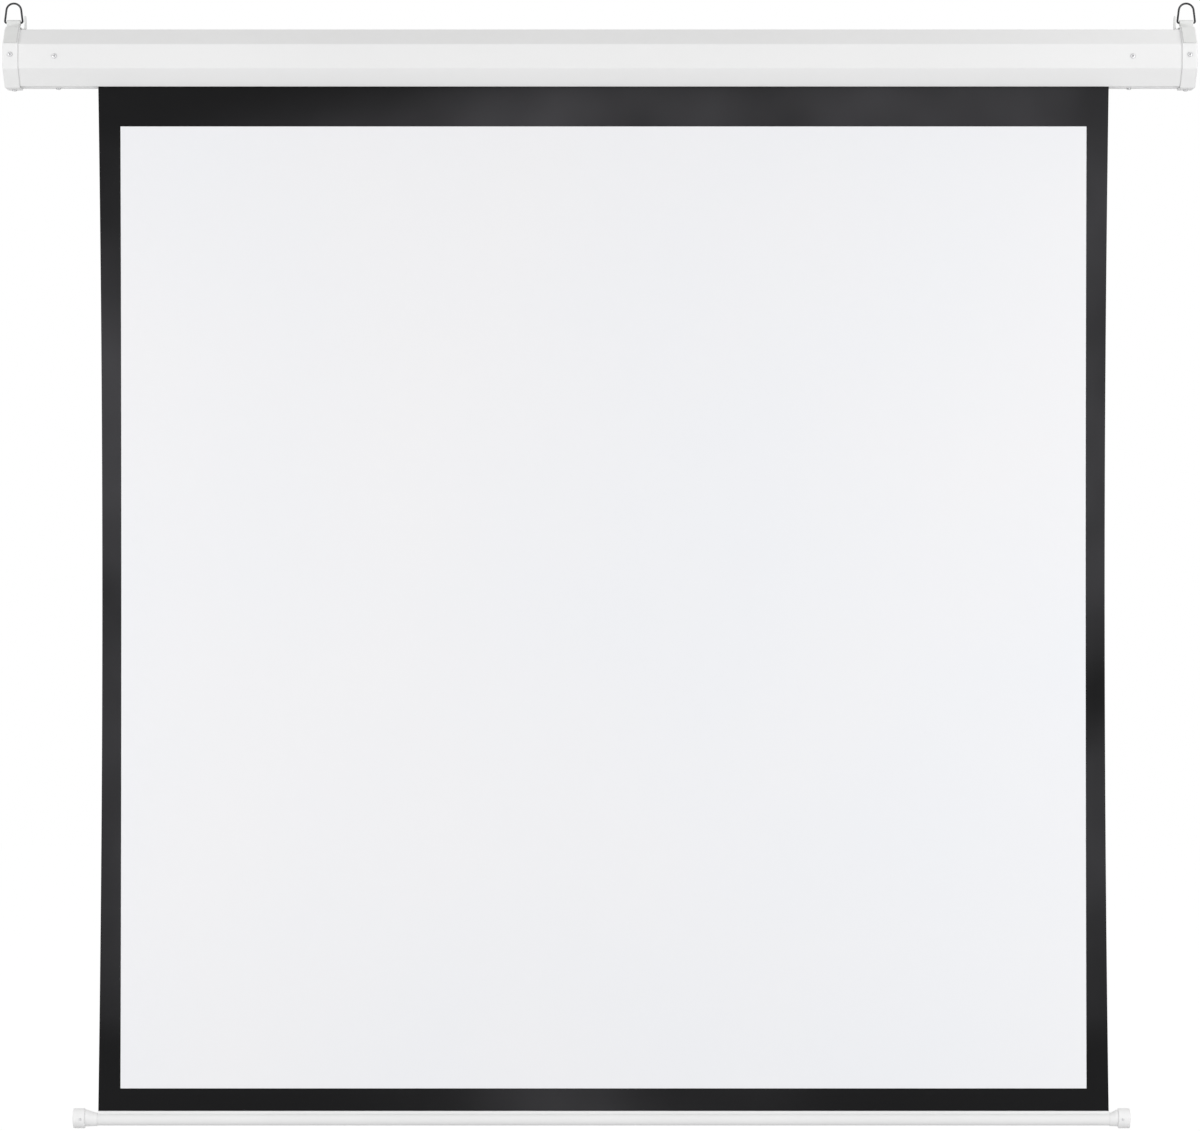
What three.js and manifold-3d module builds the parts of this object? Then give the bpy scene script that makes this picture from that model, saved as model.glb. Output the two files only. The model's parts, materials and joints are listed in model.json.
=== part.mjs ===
// A motorized projector screen, let all the way down. Millimetres, +X along the casing to the viewer's right,
// +Z up, and the picture faces -Y. The origin is on the line where two hooks would carry the wire bails,
// halfway between them.
import * as THREE from 'three';
import { mergeVertices } from 'three/addons/utils/BufferGeometryUtils.js';
import Module from 'manifold-3d';

const wasm = await Module();
wasm.setup();

// Fits
const seat = 0.3; // gap between a piece and what it rests on, runs in or is cut for
const overrun = 1; // how far a cut goes past the wall that it cuts

// Picture and cloth
const pictureWidth = 1524;
const pictureHeight = 1517.5;
const topBorder = 62.5; // from the casing's underside to the picture
const sideBorder = 35;
const bottomBorder = 35.5; // from the picture to the top of the bottom bar
const sheetThickness = 0.3;
const borderThickness = 0.1; // the printed black layer in front of the sheet
const sheetWaist = 6; // how far each side edge draws in at half height
const pictureWaist = 1.2; // how far the printed edge of the picture follows it
const waistSteps = 14;

// Casing
const hookToCasing = 41.5; // from the hook line down to the casing's top face
const casingSize = 90; // octagon across its flats
const casingWall = 1.2;
const casingCorner = 2.5;
const motorEndRoom = 123; // from the cloth's left edge to the left end cap, past the motor head
const idlerEndRoom = 112; // from the cloth's right edge to the right end cap
const clothInFlat = 5.09; // from the front edge of the casing's underside back to the cloth
const slotAhead = 3.8; // from the cloth's middle to the slot's front edge
const slotBehind = 7; // and to its back edge
const slotLip = 5; // height of the folded edges of the slot
const cornerSteps = 3;

// End caps
const capLength = 24;
const capPlate = 3;
const capWall = 2.2;
const capCorner = 3.4;
const capBevel = 1.4;

// Pan-head screws
const screwHead = 3.75; // radius
const screwHeadHeight = 2.4;
const screwRim = 0.9; // height of the head's straight rim
const screwShank = 2; // radius
const screwLength = 7;
const screwClearance = 0.3;
const crossLength = 4.4;
const crossWidth = 1;
const crossDepth = 1.2;
const screwSides = 10;
const capScrewRise = 2.5; // the cap's front screw sits this far above the middle of its face
const lowerScrewSet = 9; // the screws below sit this far behind the casing's middle

// Hanging straps, their barrels and ears
const strapWidth = 20;
const strapThickness = 1.6;
const strapShort = 1.2; // the strap ends this far above the cap's front face
const barrelRadius = 4.6;
const barrelLength = 22;
const barrelDrop = 29; // from the hook line down to the barrel's axis
const barrelSides = 20;
const webThickness = 6;
const webReach = 2; // how far the web runs up into the barrel
const earSet = 9.2; // from the strap's inner edge to the ear
const earWidth = 22;
const earTop = 18; // from the hook line down to the ear's tip
const earHole = 3.5; // radius

// Wire bails
const wire = 3.2; // diameter
const bailHalfWidth = 14.2; // to the wire's middle
const bailFoot = 7; // length of each foot, from the leg's middle
const bailBend = 2.6; // radius of the bends at the feet
const bailSteps = 42;
const wireSides = 8;

// Roller and the cloth on it
const rollRoom = 5.8; // from the bare roller to the inside of the casing's back, for the full roll
const rollerWall = 1.2;
const rollerSides = 48;
const grooveWall = 1;
const grooveNeck = 1.6;
const grooveSides = 12;
const rodRadius = 1.5; // of the rod that holds the cloth in the groove
const rodClearance = 0.4;
const rodSet = 2.7; // from the roller's surface to the rod's axis
const turnsThickness = 0.8; // of the turns that stay on the roller

// Brackets inside the casing
const motorScrewSet = 57.5; // from the left end cap to the motor bracket's screws
const idlerScrewSet = 77.5; // from the right end cap to the idler bracket's screws
const bracketPlate = 2;
const bracketTab = 12; // depth of its tabs along the casing
const frontTabHeight = 28;
const lowerTabWidth = 16;

// Motor head and tube
const headUnderRoller = 1; // the head's radius is this much less than the roller's
const headLength = 40;
const headEdge = 2; // bevel
const spigotLength = 14;
const tubeRoom = 1.9; // from the roller's rib to the motor tube
const tubeWall = 1;
const tubeSides = 32;
const headScrewInset = 8; // from the head's edge to its screws
const headScrewLength = 12;
const leadRadius = 3;
const leadSides = 10;
const leadInset = 5; // from the head's edge down to the lead
const leadSet = 3; // in front of the motor's axis
const leadSocket = 5;
const leadInBox = 5;
const limitScrewRadius = 3;
const limitScrewLength = 9;
const limitScrewStands = 1.5; // how far it stands out of the head
const limitScrewGap = 12; // between the two
const limitSocket = 1.6; // radius of its hexagon
const limitSocketDepth = 3;

// What the motor tube holds, each with its length
const switchLength = 60;
const capacitorLength = 70;
const motorCoreLength = 120;
const brakeLength = 40;
const gearboxLength = 140;
const capacitorRoom = 2.2; // round the capacitor, to the other units' radius
const unitGroove = 1; // depth of the rings turned in the units
const unitEdge = 4; // from a unit's end to its first ring
const unitSides = 16;

// Output shaft, drive wheel and crown ring
const shaftRadius = 6;
const shaftInGearbox = 12;
const shaftShoulder = 4;
const squareSide = 8;
const wheelLength = 16;
const clipThickness = 2;
const clipRadius = 9;
const crownLength = 14;
const crownFlange = 3;

// Idler end
const idlerRoom = 18; // between the roller's end and the idler bracket
const plugLength = 25;
const plugWall = 3;
const pinRadius = 5;
const pinInPlug = 20;
const bushWall = 3;
const bushFlange = 2.5;
const bushFlangeRadius = 12;
const pinSides = 20;

// Control box
const boxToBracket = 4; // from the control box to the motor bracket
const boxLength = 52;
const boxSideRoom = 1.64; // from its side to the edge of the casing's top face
const boxUnderLead = 5.5; // from the lead down to the box's open edge
const boxWall = 1.6;
const boxScrewGap = 16;
const boxScrewSet = 6; // behind the casing's middle
const bossRadius = 4;
const bossLength = 5;
const boardThickness = 1.6;
const boardMargin = 1.5;
const terminalLength = 10;
const terminalWidth = 24;
const terminalHeight = 9;
const terminalHoles = 4;
const terminalHole = 1.5; // radius
const relayLength = 9;
const relayWidth = 15;
const relayHeight = 11;
const relayGap = 3;

// Grommet for the mains lead
const grommetBore = 4; // radius
const grommetNeck = 1.8; // wall of its neck
const grommetLip = 2.2; // how far its flanges overlap the casing
const grommetFlange = 1.8; // thickness of each flange
const grommetSides = 16;

// Bottom bar, its caps and the hem inside it
const barRadius = 9.75;
const barWall = 1.3;
const barPastLeft = 39; // from the cloth's left edge to the outside of the bar's left cap
const barPastRight = 33;
const barSides = 28;
const lipStands = 3.5; // how far the lips of its slot stand above the tube
const lipWall = 1.3;
const barSlot = 2.2;
const barCapRadius = 15.75;
const barCapLength = 18.5;
const barCapEdge = 1.5;
const barCapPlate = 3;
const barCapStep = 2;
const sleeveLength = 14;
const sleeveEnd = 12.7; // radius where the sleeve runs out on the bar
const barCapScrew = 2.2; // radius
const barCapScrewLength = 5;
const hemRod = 2.5; // radius
const hemCloth = 0.4;
const hemSides = 12;
const hemShort = 6; // the rod ends this far inside the cloth's edge

// Places that follow from these sizes
const casingMiddle = -(hookToCasing + casingSize / 2);
const casingHalf = casingSize / 2;
const insideHalf = casingHalf - casingWall;
const flatHalf = casingHalf * Math.tan(Math.PI / 8); // half the width of each of its faces
const capHalf = casingHalf + seat + capWall;
const clothWidth = pictureWidth + 2 * sideBorder;
const clothShift = (motorEndRoom - idlerEndRoom) / 2; // the cloth's middle, right of the casing's middle
const casingShows = clothWidth + motorEndRoom + idlerEndRoom; // length between the two end caps
const capMiddle = (casingShows + capLength) / 2;
const capOuter = casingShows / 2 + capLength;
const casingEnd = capOuter - capPlate - seat;
const clothSet = clothInFlat - flatHalf; // the cloth and the roller's axis lie this far behind the middle
const clothOffRoller = seat + turnsThickness + seat + sheetThickness / 2;
const rollerRadius = (insideHalf - rollRoom - clothOffRoller - clothSet) / 2;
const rollerSet = clothSet + clothOffRoller + rollerRadius;
const turnsInner = rollerRadius + seat;
const turnsOuter = turnsInner + turnsThickness;
const sheetFront = clothSet - sheetThickness / 2;
const slotFront = clothSet - slotAhead;
const slotBack = clothSet + slotBehind;
const clothBottom = casingHalf + topBorder + pictureHeight + bottomBorder; // below the casing's middle
const barDrop = clothBottom + lipStands + barRadius;
const barLength = clothWidth + barPastLeft + barPastRight;
const barShift = clothShift + (barPastRight - barPastLeft) / 2;
const bracketSet = bracketTab / 2;
const motorScrew = casingShows / 2 - motorScrewSet; // the brackets' screws, from the casing's middle
const idlerScrew = casingShows / 2 - idlerScrewSet;
const motorPlate = -(motorScrew + bracketSet);
const idlerPlate = idlerScrew + bracketSet;
const boxSet = bracketPlate - motorPlate + boxToBracket + boxLength / 2; // the control box's middle
const headStart = motorPlate + seat;
const headEnd = headStart + headLength;
const rollerStart = headEnd + seat + crownFlange + seat;
const rollerEnd = idlerPlate - idlerRoom;
const rollerInner = rollerRadius - rollerWall;
const pocketRadius = rodRadius + rodClearance;
const ribInner = rollerRadius - rodSet - pocketRadius - grooveWall;
const ribHalf = pocketRadius + grooveWall;
const tubeRadius = ribInner - tubeRoom;
const tubeInner = tubeRadius - tubeWall;
const unitRadius = tubeInner - seat;
const capacitorRadius = unitRadius - capacitorRoom;
const headRadius = rollerRadius - headUnderRoller;
const headScrewSet = headRadius - headScrewInset; // the screws and the lead, from the motor's axis
const leadRise = headRadius - leadInset;
const boxWidth = 2 * (flatHalf - boxSideRoom);
const boxHeight = insideHalf - seat - leadRise + boxUnderLead;
const strapTop = capHalf + seat + strapThickness;
const barrelUp = -barrelDrop - casingMiddle;
const bailLeg = barrelDrop + wire / 2 - bailHalfWidth;

const paint = { color: 0xeeeef0, roughness: 0.4, metalness: 0 };
const whitePlastic = { color: 0xe9e9ec, roughness: 0.45, metalness: 0 };
const zincSteel = { color: 0xb9bcc0, roughness: 0.35, metalness: 0.9 };
const darkSteel = { color: 0x3a3a3d, roughness: 0.35, metalness: 0.9 };
const aluminium = { color: 0xc4c6c9, roughness: 0.4, metalness: 0.9 };
const blackPlastic = { color: 0x1d1d1f, roughness: 0.5, metalness: 0 };
const whiteCloth = { color: 0xededf0, roughness: 0.9, metalness: 0 };
const blackCloth = { color: 0x17171a, roughness: 0.7, metalness: 0 };
const boardGreen = { color: 0x1f5a3a, roughness: 0.5, metalness: 0 };
const redPlastic = { color: 0xb3342c, roughness: 0.5, metalness: 0 };
const rubber = { color: 0x1b1b1c, roughness: 0.8, metalness: 0 };
const brass = { color: 0xb5964e, roughness: 0.35, metalness: 0.9 };

// Closed geometry made a solid that can be joined and cut.
function solid(geometry) {
  const bare = geometry.index ? geometry.toNonIndexed() : geometry.clone();
  bare.deleteAttribute('normal');
  bare.deleteAttribute('uv');
  const merged = mergeVertices(bare, 1e-4);
  const corners = merged.index.array;
  const triVerts = [];
  for (let i = 0; i < corners.length; i += 3) {
    const [a, b, c] = [corners[i], corners[i + 1], corners[i + 2]];
    if (a !== b && b !== c && c !== a) triVerts.push(a, b, c);
  }
  return new wasm.Manifold(
    new wasm.Mesh({
      numProp: 3,
      vertProperties: merged.attributes.position.array,
      triVerts: new Uint32Array(triVerts),
    }),
  );
}

// A named mesh from a solid.
function piece(name, body, finish) {
  const { vertProperties, triVerts } = body.getMesh();
  const shared = new THREE.BufferGeometry();
  shared.setAttribute('position', new THREE.BufferAttribute(vertProperties, 3));
  shared.setIndex(new THREE.BufferAttribute(triVerts, 1));
  const geometry = shared.toNonIndexed();
  geometry.computeVertexNormals();
  const mesh = new THREE.Mesh(geometry, new THREE.MeshStandardMaterial(finish));
  mesh.name = name;
  return mesh;
}

function group(place, ...children) {
  const made = new THREE.Group();
  made.position.set(...place);
  made.add(...children);
  return made;
}

function box(low, high) {
  const size = high.map((v, i) => v - low[i]);
  const middle = high.map((v, i) => (v + low[i]) / 2);
  return solid(new THREE.BoxGeometry(...size).translate(...middle));
}

// A section drawn in (y, z), swept along X.
function alongX(section, from, to, bevel = 0) {
  const geometry = new THREE.ExtrudeGeometry(section, {
    depth: to - from - 2 * bevel,
    bevelEnabled: bevel > 0,
    bevelThickness: bevel,
    bevelSize: bevel,
    bevelOffset: -bevel,
    bevelSegments: 2,
  });
  const turn = new THREE.Matrix4().makeBasis(
    new THREE.Vector3(0, 1, 0),
    new THREE.Vector3(0, 0, 1),
    new THREE.Vector3(1, 0, 0),
  );
  return solid(geometry.applyMatrix4(turn).translate(from + bevel, 0, 0));
}

// An outline drawn in (x, z), given a thickness from the plane y = 0 towards the front or the back.
function upright(outline, thickness, towardsFront) {
  const geometry = new THREE.ExtrudeGeometry(outline, { depth: thickness, bevelEnabled: false });
  geometry.rotateX(Math.PI / 2);
  return solid(towardsFront ? geometry : geometry.translate(0, thickness, 0));
}

// A profile of [height, radius] points turned round the Z axis. It starts and ends on the axis or closes on
// itself, and its heights rise along its outside.
function turned(profile, sides) {
  const points = profile.map(([height, radius]) => new THREE.Vector2(radius, height));
  return solid(new THREE.LatheGeometry(points, sides).rotateX(Math.PI / 2));
}

function rod(radius, from, to, sides) {
  return turned([[from, 0], [from, radius], [to, radius], [to, 0]], sides);
}

function sleeve(inner, outer, from, to, sides) {
  return turned([[from, inner], [from, outer], [to, outer], [to, inner], [from, inner]], sides);
}

// The same shapes turned from the Z axis onto the X axis, or onto a line along X at (y, z).
function ontoX(body, y = 0, z = 0) {
  return body.rotate([0, 90, 0]).translate([0, y, z]);
}

function joined(...bodies) {
  return bodies.reduce((all, body) => all.add(body));
}

function cut(body, ...tools) {
  return tools.reduce((left, tool) => left.subtract(tool), body);
}

// A regular octagon measured across its flats, with rounded corners.
function octagon(half, corner) {
  const outline = new THREE.Shape();
  const reach = (half - corner) / Math.cos(Math.PI / 8);
  const points = [];
  for (let side = 0; side < 8; side += 1) {
    const towards = Math.PI / 8 + (side * Math.PI) / 4;
    for (let step = 0; step <= cornerSteps; step += 1) {
      const angle = towards + (step / cornerSteps - 0.5) * (Math.PI / 4);
      points.push(
        new THREE.Vector2(
          reach * Math.cos(towards) + corner * Math.cos(angle),
          reach * Math.sin(towards) + corner * Math.sin(angle),
        ),
      );
    }
  }
  return outline.setFromPoints(points);
}

function ring(outer, inner) {
  outer.holes.push(inner);
  return outer;
}

// Where each screw sits, as a place on a face and a turn about X that points its head out of that face.
const facing = { up: 0, front: Math.PI / 2, down: Math.PI, backUp: -Math.PI / 4 };

function spot(x, y, z, face) {
  const matrix = new THREE.Matrix4().makeRotationX(facing[face]).setPosition(x, y, z);
  return { matrix, place: [x, y, z], turn: facing[face] };
}

function drill(at, radius, depth) {
  const bit = rod(radius, -depth, overrun, screwSides);
  return bit.transform(at.matrix.elements);
}

const screwHole = screwShank + screwClearance;
const strapReach = strapTop * Math.SQRT1_2;
const spots = {};
for (const [end, side] of [['left', -1], ['right', 1]]) {
  const bracketX = side * (side < 0 ? motorScrew : idlerScrew);
  spots[`${end}_cap_front_screw`] = spot(side * capMiddle, -capHalf, capScrewRise, 'front');
  spots[`${end}_cap_lower_screw`] = spot(side * capMiddle, lowerScrewSet, -capHalf, 'down');
  spots[`${end}_casing_front_screw`] = spot(bracketX, -casingHalf, 0, 'front');
  spots[`${end}_casing_lower_screw`] = spot(bracketX, lowerScrewSet, -casingHalf, 'down');
  spots[`${end}_strap_screw`] = spot(side * capMiddle, strapReach, strapReach, 'backUp');
}
for (const [name, side] of [['outer', -1], ['inner', 1]]) {
  const x = -boxSet + (side * boxScrewGap) / 2;
  spots[`control_box_${name}_screw`] = spot(x, boxScrewSet, casingHalf, 'up');
}
const allHoles = Object.values(spots).map((at) => drill(at, screwHole, screwLength + overrun));

function screwBody(length) {
  const rim = screwHead - (screwHeadHeight - screwRim);
  const cross = seat + screwHeadHeight - crossDepth;
  const top = seat + screwHeadHeight;
  const body = turned(
    [
      [-length, 0],
      [-length, screwShank],
      [seat, screwShank],
      [seat, screwHead],
      [seat + screwRim, screwHead],
      [top, rim],
      [top, 0],
    ],
    screwSides,
  );
  const arm = [crossLength / 2, crossWidth / 2];
  return cut(
    body,
    box([-arm[0], -arm[1], cross], [arm[0], arm[1], top + overrun]),
    box([-arm[1], -arm[0], cross], [arm[1], arm[0], top + overrun]),
  );
}

function screws() {
  return Object.entries(spots).map(([name, at]) => {
    const mesh = piece(name, screwBody(screwLength), zincSteel);
    mesh.position.set(...at.place);
    mesh.rotation.x = at.turn;
    return mesh;
  });
}

// The octagonal casing, open along the slot that the cloth comes out of.
function casing() {
  const section = ring(octagon(casingHalf, casingCorner), octagon(insideHalf, casingCorner - casingWall));
  const shell = alongX(section, -casingEnd, casingEnd);
  const slot = box(
    [-casingEnd - overrun, slotFront, -casingHalf - overrun],
    [casingEnd + overrun, slotBack, -insideHalf + overrun],
  );
  const lips = [slotFront - casingWall, slotBack].map((y) =>
    box([-casingEnd, y, -casingHalf], [casingEnd, y + casingWall, -insideHalf + slotLip]),
  );
  const neckRoom = grommetBore + grommetNeck + seat;
  const grommetHole = rod(neckRoom, insideHalf - overrun, casingHalf + overrun, grommetSides)
    .rotate([-90, 0, 0])
    .translate([-boxSet, 0, 0]);
  return piece('casing', cut(joined(cut(shell, slot), ...lips), grommetHole, ...allHoles), paint);
}

function endCap(end, side) {
  const outside = alongX(octagon(capHalf, capCorner), -capOuter, -capOuter + capLength + capBevel, capBevel);
  const inside = octagon(casingHalf + seat, casingCorner + seat);
  const hollow = alongX(inside, -capOuter + capPlate, -capOuter + capLength + capBevel + overrun);
  const beyond = [-capOuter + capLength, -capHalf - overrun, -capHalf - overrun];
  const trim = box(beyond, [beyond[0] + capBevel + overrun, capHalf + overrun, capHalf + overrun]);
  const leftCap = cut(outside, hollow, trim);
  const body = side < 0 ? leftCap : leftCap.mirror([1, 0, 0]);
  return piece(`${end}_end_cap`, cut(body, ...allHoles), whitePlastic);
}

// A steel strap over the cap, the barrel that the bail turns in, and an upright ear with a screw hole.
function hangingStrap(end, side) {
  const strapInner = capHalf + seat;
  const around = ring(octagon(strapTop, capCorner), octagon(strapInner, capCorner));
  const foot = capHalf * Math.tan(Math.PI / 8) + strapShort;
  const half = strapWidth / 2;
  const past = strapTop + overrun;
  const belt = cut(
    alongX(around, -half, half),
    box([-half - overrun, -past, -past], [half + overrun, past, foot]),
  );
  const webTop = barrelUp - barrelRadius + webReach;
  const web = box([-half, -webThickness / 2, strapInner], [half, webThickness / 2, webTop]);
  const barrel = rod(barrelRadius, -barrelLength / 2, barrelLength / 2, barrelSides);
  const bore = rod(wire / 2 + seat, -barrelLength, barrelLength, barrelSides);
  const earPlace = half + earSet;
  const earFace = earPlace - strapThickness;
  const earCentre = -earTop - casingMiddle - earWidth / 2;
  const shelf = box([half - overrun, -earWidth / 2, strapInner], [earPlace, earWidth / 2, strapTop]);
  const plate = box([earFace, -earWidth / 2, strapInner], [earPlace, earWidth / 2, earCentre]);
  const tip = rod(earWidth / 2, earFace, earPlace, barrelSides);
  const hole = rod(earHole, earFace - overrun, earPlace + overrun, barrelSides);
  const inward = cut(
    joined(belt, web, ontoX(barrel, 0, barrelUp), shelf, plate, ontoX(tip, 0, earCentre)),
    ontoX(bore, 0, barrelUp),
    ontoX(hole, 0, earCentre),
  );
  const body = (side < 0 ? inward : inward.mirror([1, 0, 0])).translate([side * capMiddle, 0, 0]);
  return piece(`${end}_hanging_strap`, cut(body, ...allHoles), paint);
}

// An arc in the XZ plane.
class Arc extends THREE.Curve {
  constructor(x, z, radius, from, to) {
    super();
    Object.assign(this, { x, z, radius, from, to });
  }

  getPoint(share, target = new THREE.Vector3()) {
    const angle = this.from + (this.to - this.from) * share;
    return target.set(this.x + this.radius * Math.cos(angle), 0, this.z + this.radius * Math.sin(angle));
  }
}

function bail(end, side) {
  const at = (x, z) => new THREE.Vector3(x, 0, z);
  const half = bailHalfWidth;
  const bend = bailBend;
  const path = new THREE.CurvePath();
  path.add(new THREE.LineCurve3(at(bailFoot - half, 0), at(bend - half, 0)));
  path.add(new Arc(bend - half, bend, bend, -Math.PI / 2, -Math.PI));
  path.add(new THREE.LineCurve3(at(-half, bend), at(-half, bailLeg)));
  path.add(new Arc(0, bailLeg, half, Math.PI, 0));
  path.add(new THREE.LineCurve3(at(half, bailLeg), at(half, bend)));
  path.add(new Arc(half - bend, bend, bend, 0, -Math.PI / 2));
  path.add(new THREE.LineCurve3(at(half - bend, 0), at(half - bailFoot, 0)));
  const section = new THREE.Shape();
  for (let k = 0; k <= wireSides; k += 1) {
    const angle = (2 * Math.PI * k) / wireSides;
    const [x, y] = [(wire / 2) * Math.cos(angle), (wire / 2) * Math.sin(angle)];
    if (k === 0) section.moveTo(x, y);
    else section.lineTo(x, y);
  }
  const swept = new THREE.ExtrudeGeometry(section, { steps: bailSteps, extrudePath: path });
  const mesh = piece(`${end}_bail`, solid(swept), darkSteel);
  mesh.position.set(side * capMiddle, 0, barrelUp);
  return mesh;
}

// Octagonal plate across the casing, with a tab at the front and one below for the casing's screws.
function bracket(name, plateX, side, holes) {
  const half = insideHalf - seat;
  const tabEnd = plateX - side * bracketTab;
  const [from, to] = side < 0 ? [plateX, tabEnd] : [tabEnd, plateX];
  const [plateFrom, plateTo] = side < 0 ? [plateX - bracketPlate, plateX] : [plateX, plateX + bracketPlate];
  const plate = alongX(octagon(half, casingCorner - casingWall), plateFrom, plateTo);
  const lipRoom = box(
    [plateFrom - overrun, slotFront - casingWall - seat, -casingHalf],
    [plateTo + overrun, slotBack + casingWall + seat, -insideHalf + slotLip + seat],
  );
  const frontTab = box([from, -half, -frontTabHeight / 2], [to, -half + bracketPlate, frontTabHeight / 2]);
  const lowerTab = box(
    [from, lowerScrewSet - lowerTabWidth / 2, -half],
    [to, lowerScrewSet + lowerTabWidth / 2, -half + bracketPlate],
  );
  return piece(name, cut(joined(plate, frontTab, lowerTab), lipRoom, ...holes, ...allHoles), zincSteel);
}

// The roller's wall has a rib inside it with the groove that holds the cloth's rod.
function rollerParts() {
  const length = [rollerStart, rollerEnd];
  const wall = ontoX(sleeve(rollerInner, rollerRadius, ...length, rollerSides));
  const pocketUp = rollerRadius - rodSet;
  const rib = box([rollerStart, -ribHalf, ribInner], [rollerEnd, ribHalf, rollerInner + rollerWall / 2]);
  const pocket = rod(pocketRadius, rollerStart - overrun, rollerEnd + overrun, grooveSides);
  const neck = box(
    [rollerStart - overrun, -grooveNeck / 2, pocketUp],
    [rollerEnd + overrun, grooveNeck / 2, rollerRadius + overrun],
  );
  const clothFrom = clothShift - clothWidth / 2;
  const clothTo = clothShift + clothWidth / 2;
  return [
    piece('roller_tube', cut(joined(wall, rib), ontoX(pocket, 0, pocketUp), neck), aluminium),
    piece('cloth_rod', ontoX(rod(rodRadius, clothFrom, clothTo, grooveSides), 0, pocketUp), zincSteel),
    piece('cloth_turns', ontoX(sleeve(turnsInner, turnsOuter, clothFrom, clothTo, rollerSides)), blackCloth),
  ];
}

// Room for the roller's rib in a piece that turns inside it.
function ribRoom(from, to) {
  const side = ribHalf + seat;
  return box([from - overrun, -side, ribInner - seat], [to + overrun, side, rollerRadius]);
}

const limitPlaces = {
  up: headStart + (headLength - limitScrewGap) / 2,
  down: headStart + (headLength + limitScrewGap) / 2,
};
// The limit screws point at the casing's slot, where a key reaches them.
const limitTurn = Math.atan2(rollerSet - clothSet, -casingHalf);

function limitBore() {
  const depth = headRadius - limitScrewLength + limitScrewStands - seat;
  return Object.values(limitPlaces).map((x) =>
    rod(limitScrewRadius + seat, depth, headRadius + overrun, screwSides)
      .rotate([THREE.MathUtils.radToDeg(limitTurn), 0, 0])
      .translate([x, 0, 0]),
  );
}

function motorHead() {
  const spigotEnd = headEnd + spigotLength;
  const body = ontoX(
    turned(
      [
        [headStart, 0],
        [headStart, headRadius - headEdge],
        [headStart + headEdge, headRadius],
        [headEnd, headRadius],
        [headEnd, tubeInner - seat],
        [spigotEnd, tubeInner - seat],
        [spigotEnd, 0],
      ],
      tubeSides,
    ),
  );
  const socket = rod(leadRadius + seat, headStart - overrun, headStart + leadSocket, leadSides);
  const screwBores = [-1, 1].map((side) =>
    ontoX(rod(screwHole, headStart - overrun, headStart + headScrewLength, screwSides), side * headScrewSet),
  );
  const bored = cut(body, ontoX(socket, -leadSet, leadRise), ...screwBores, ...limitBore());
  return piece('motor_head', bored, blackPlastic);
}

function headScrews() {
  return [['front', -1], ['back', 1]].map(([name, side]) => {
    const mesh = piece(`motor_head_${name}_screw`, screwBody(headScrewLength - bracketPlate), zincSteel);
    mesh.position.set(motorPlate - bracketPlate, side * headScrewSet, 0);
    mesh.rotation.y = -Math.PI / 2;
    return mesh;
  });
}

function limitScrews() {
  return Object.entries(limitPlaces).map(([name, x]) => {
    const tip = headRadius + limitScrewStands;
    const hexagon = rod(limitSocket, tip - limitSocketDepth, tip + overrun, 6);
    const body = cut(rod(limitScrewRadius, tip - limitScrewLength, tip, screwSides), hexagon);
    const mesh = piece(`${name}_limit_screw`, body, name === 'up' ? redPlastic : whitePlastic);
    mesh.position.set(x, 0, 0);
    mesh.rotation.x = limitTurn;
    return mesh;
  });
}

// A round unit inside the motor tube, with a ring turned in it near each end.
function unit(name, from, length, radius, finish) {
  const to = from + length;
  const low = radius - unitGroove;
  const profile = [
    [from, 0],
    [from, radius],
    [from + unitEdge, radius],
    [from + unitEdge, low],
    [from + 2 * unitEdge, low],
    [from + 2 * unitEdge, radius],
    [to - 2 * unitEdge, radius],
    [to - 2 * unitEdge, low],
    [to - unitEdge, low],
    [to - unitEdge, radius],
    [to, radius],
    [to, 0],
  ];
  return piece(name, ontoX(turned(profile, unitSides)), finish);
}

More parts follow.
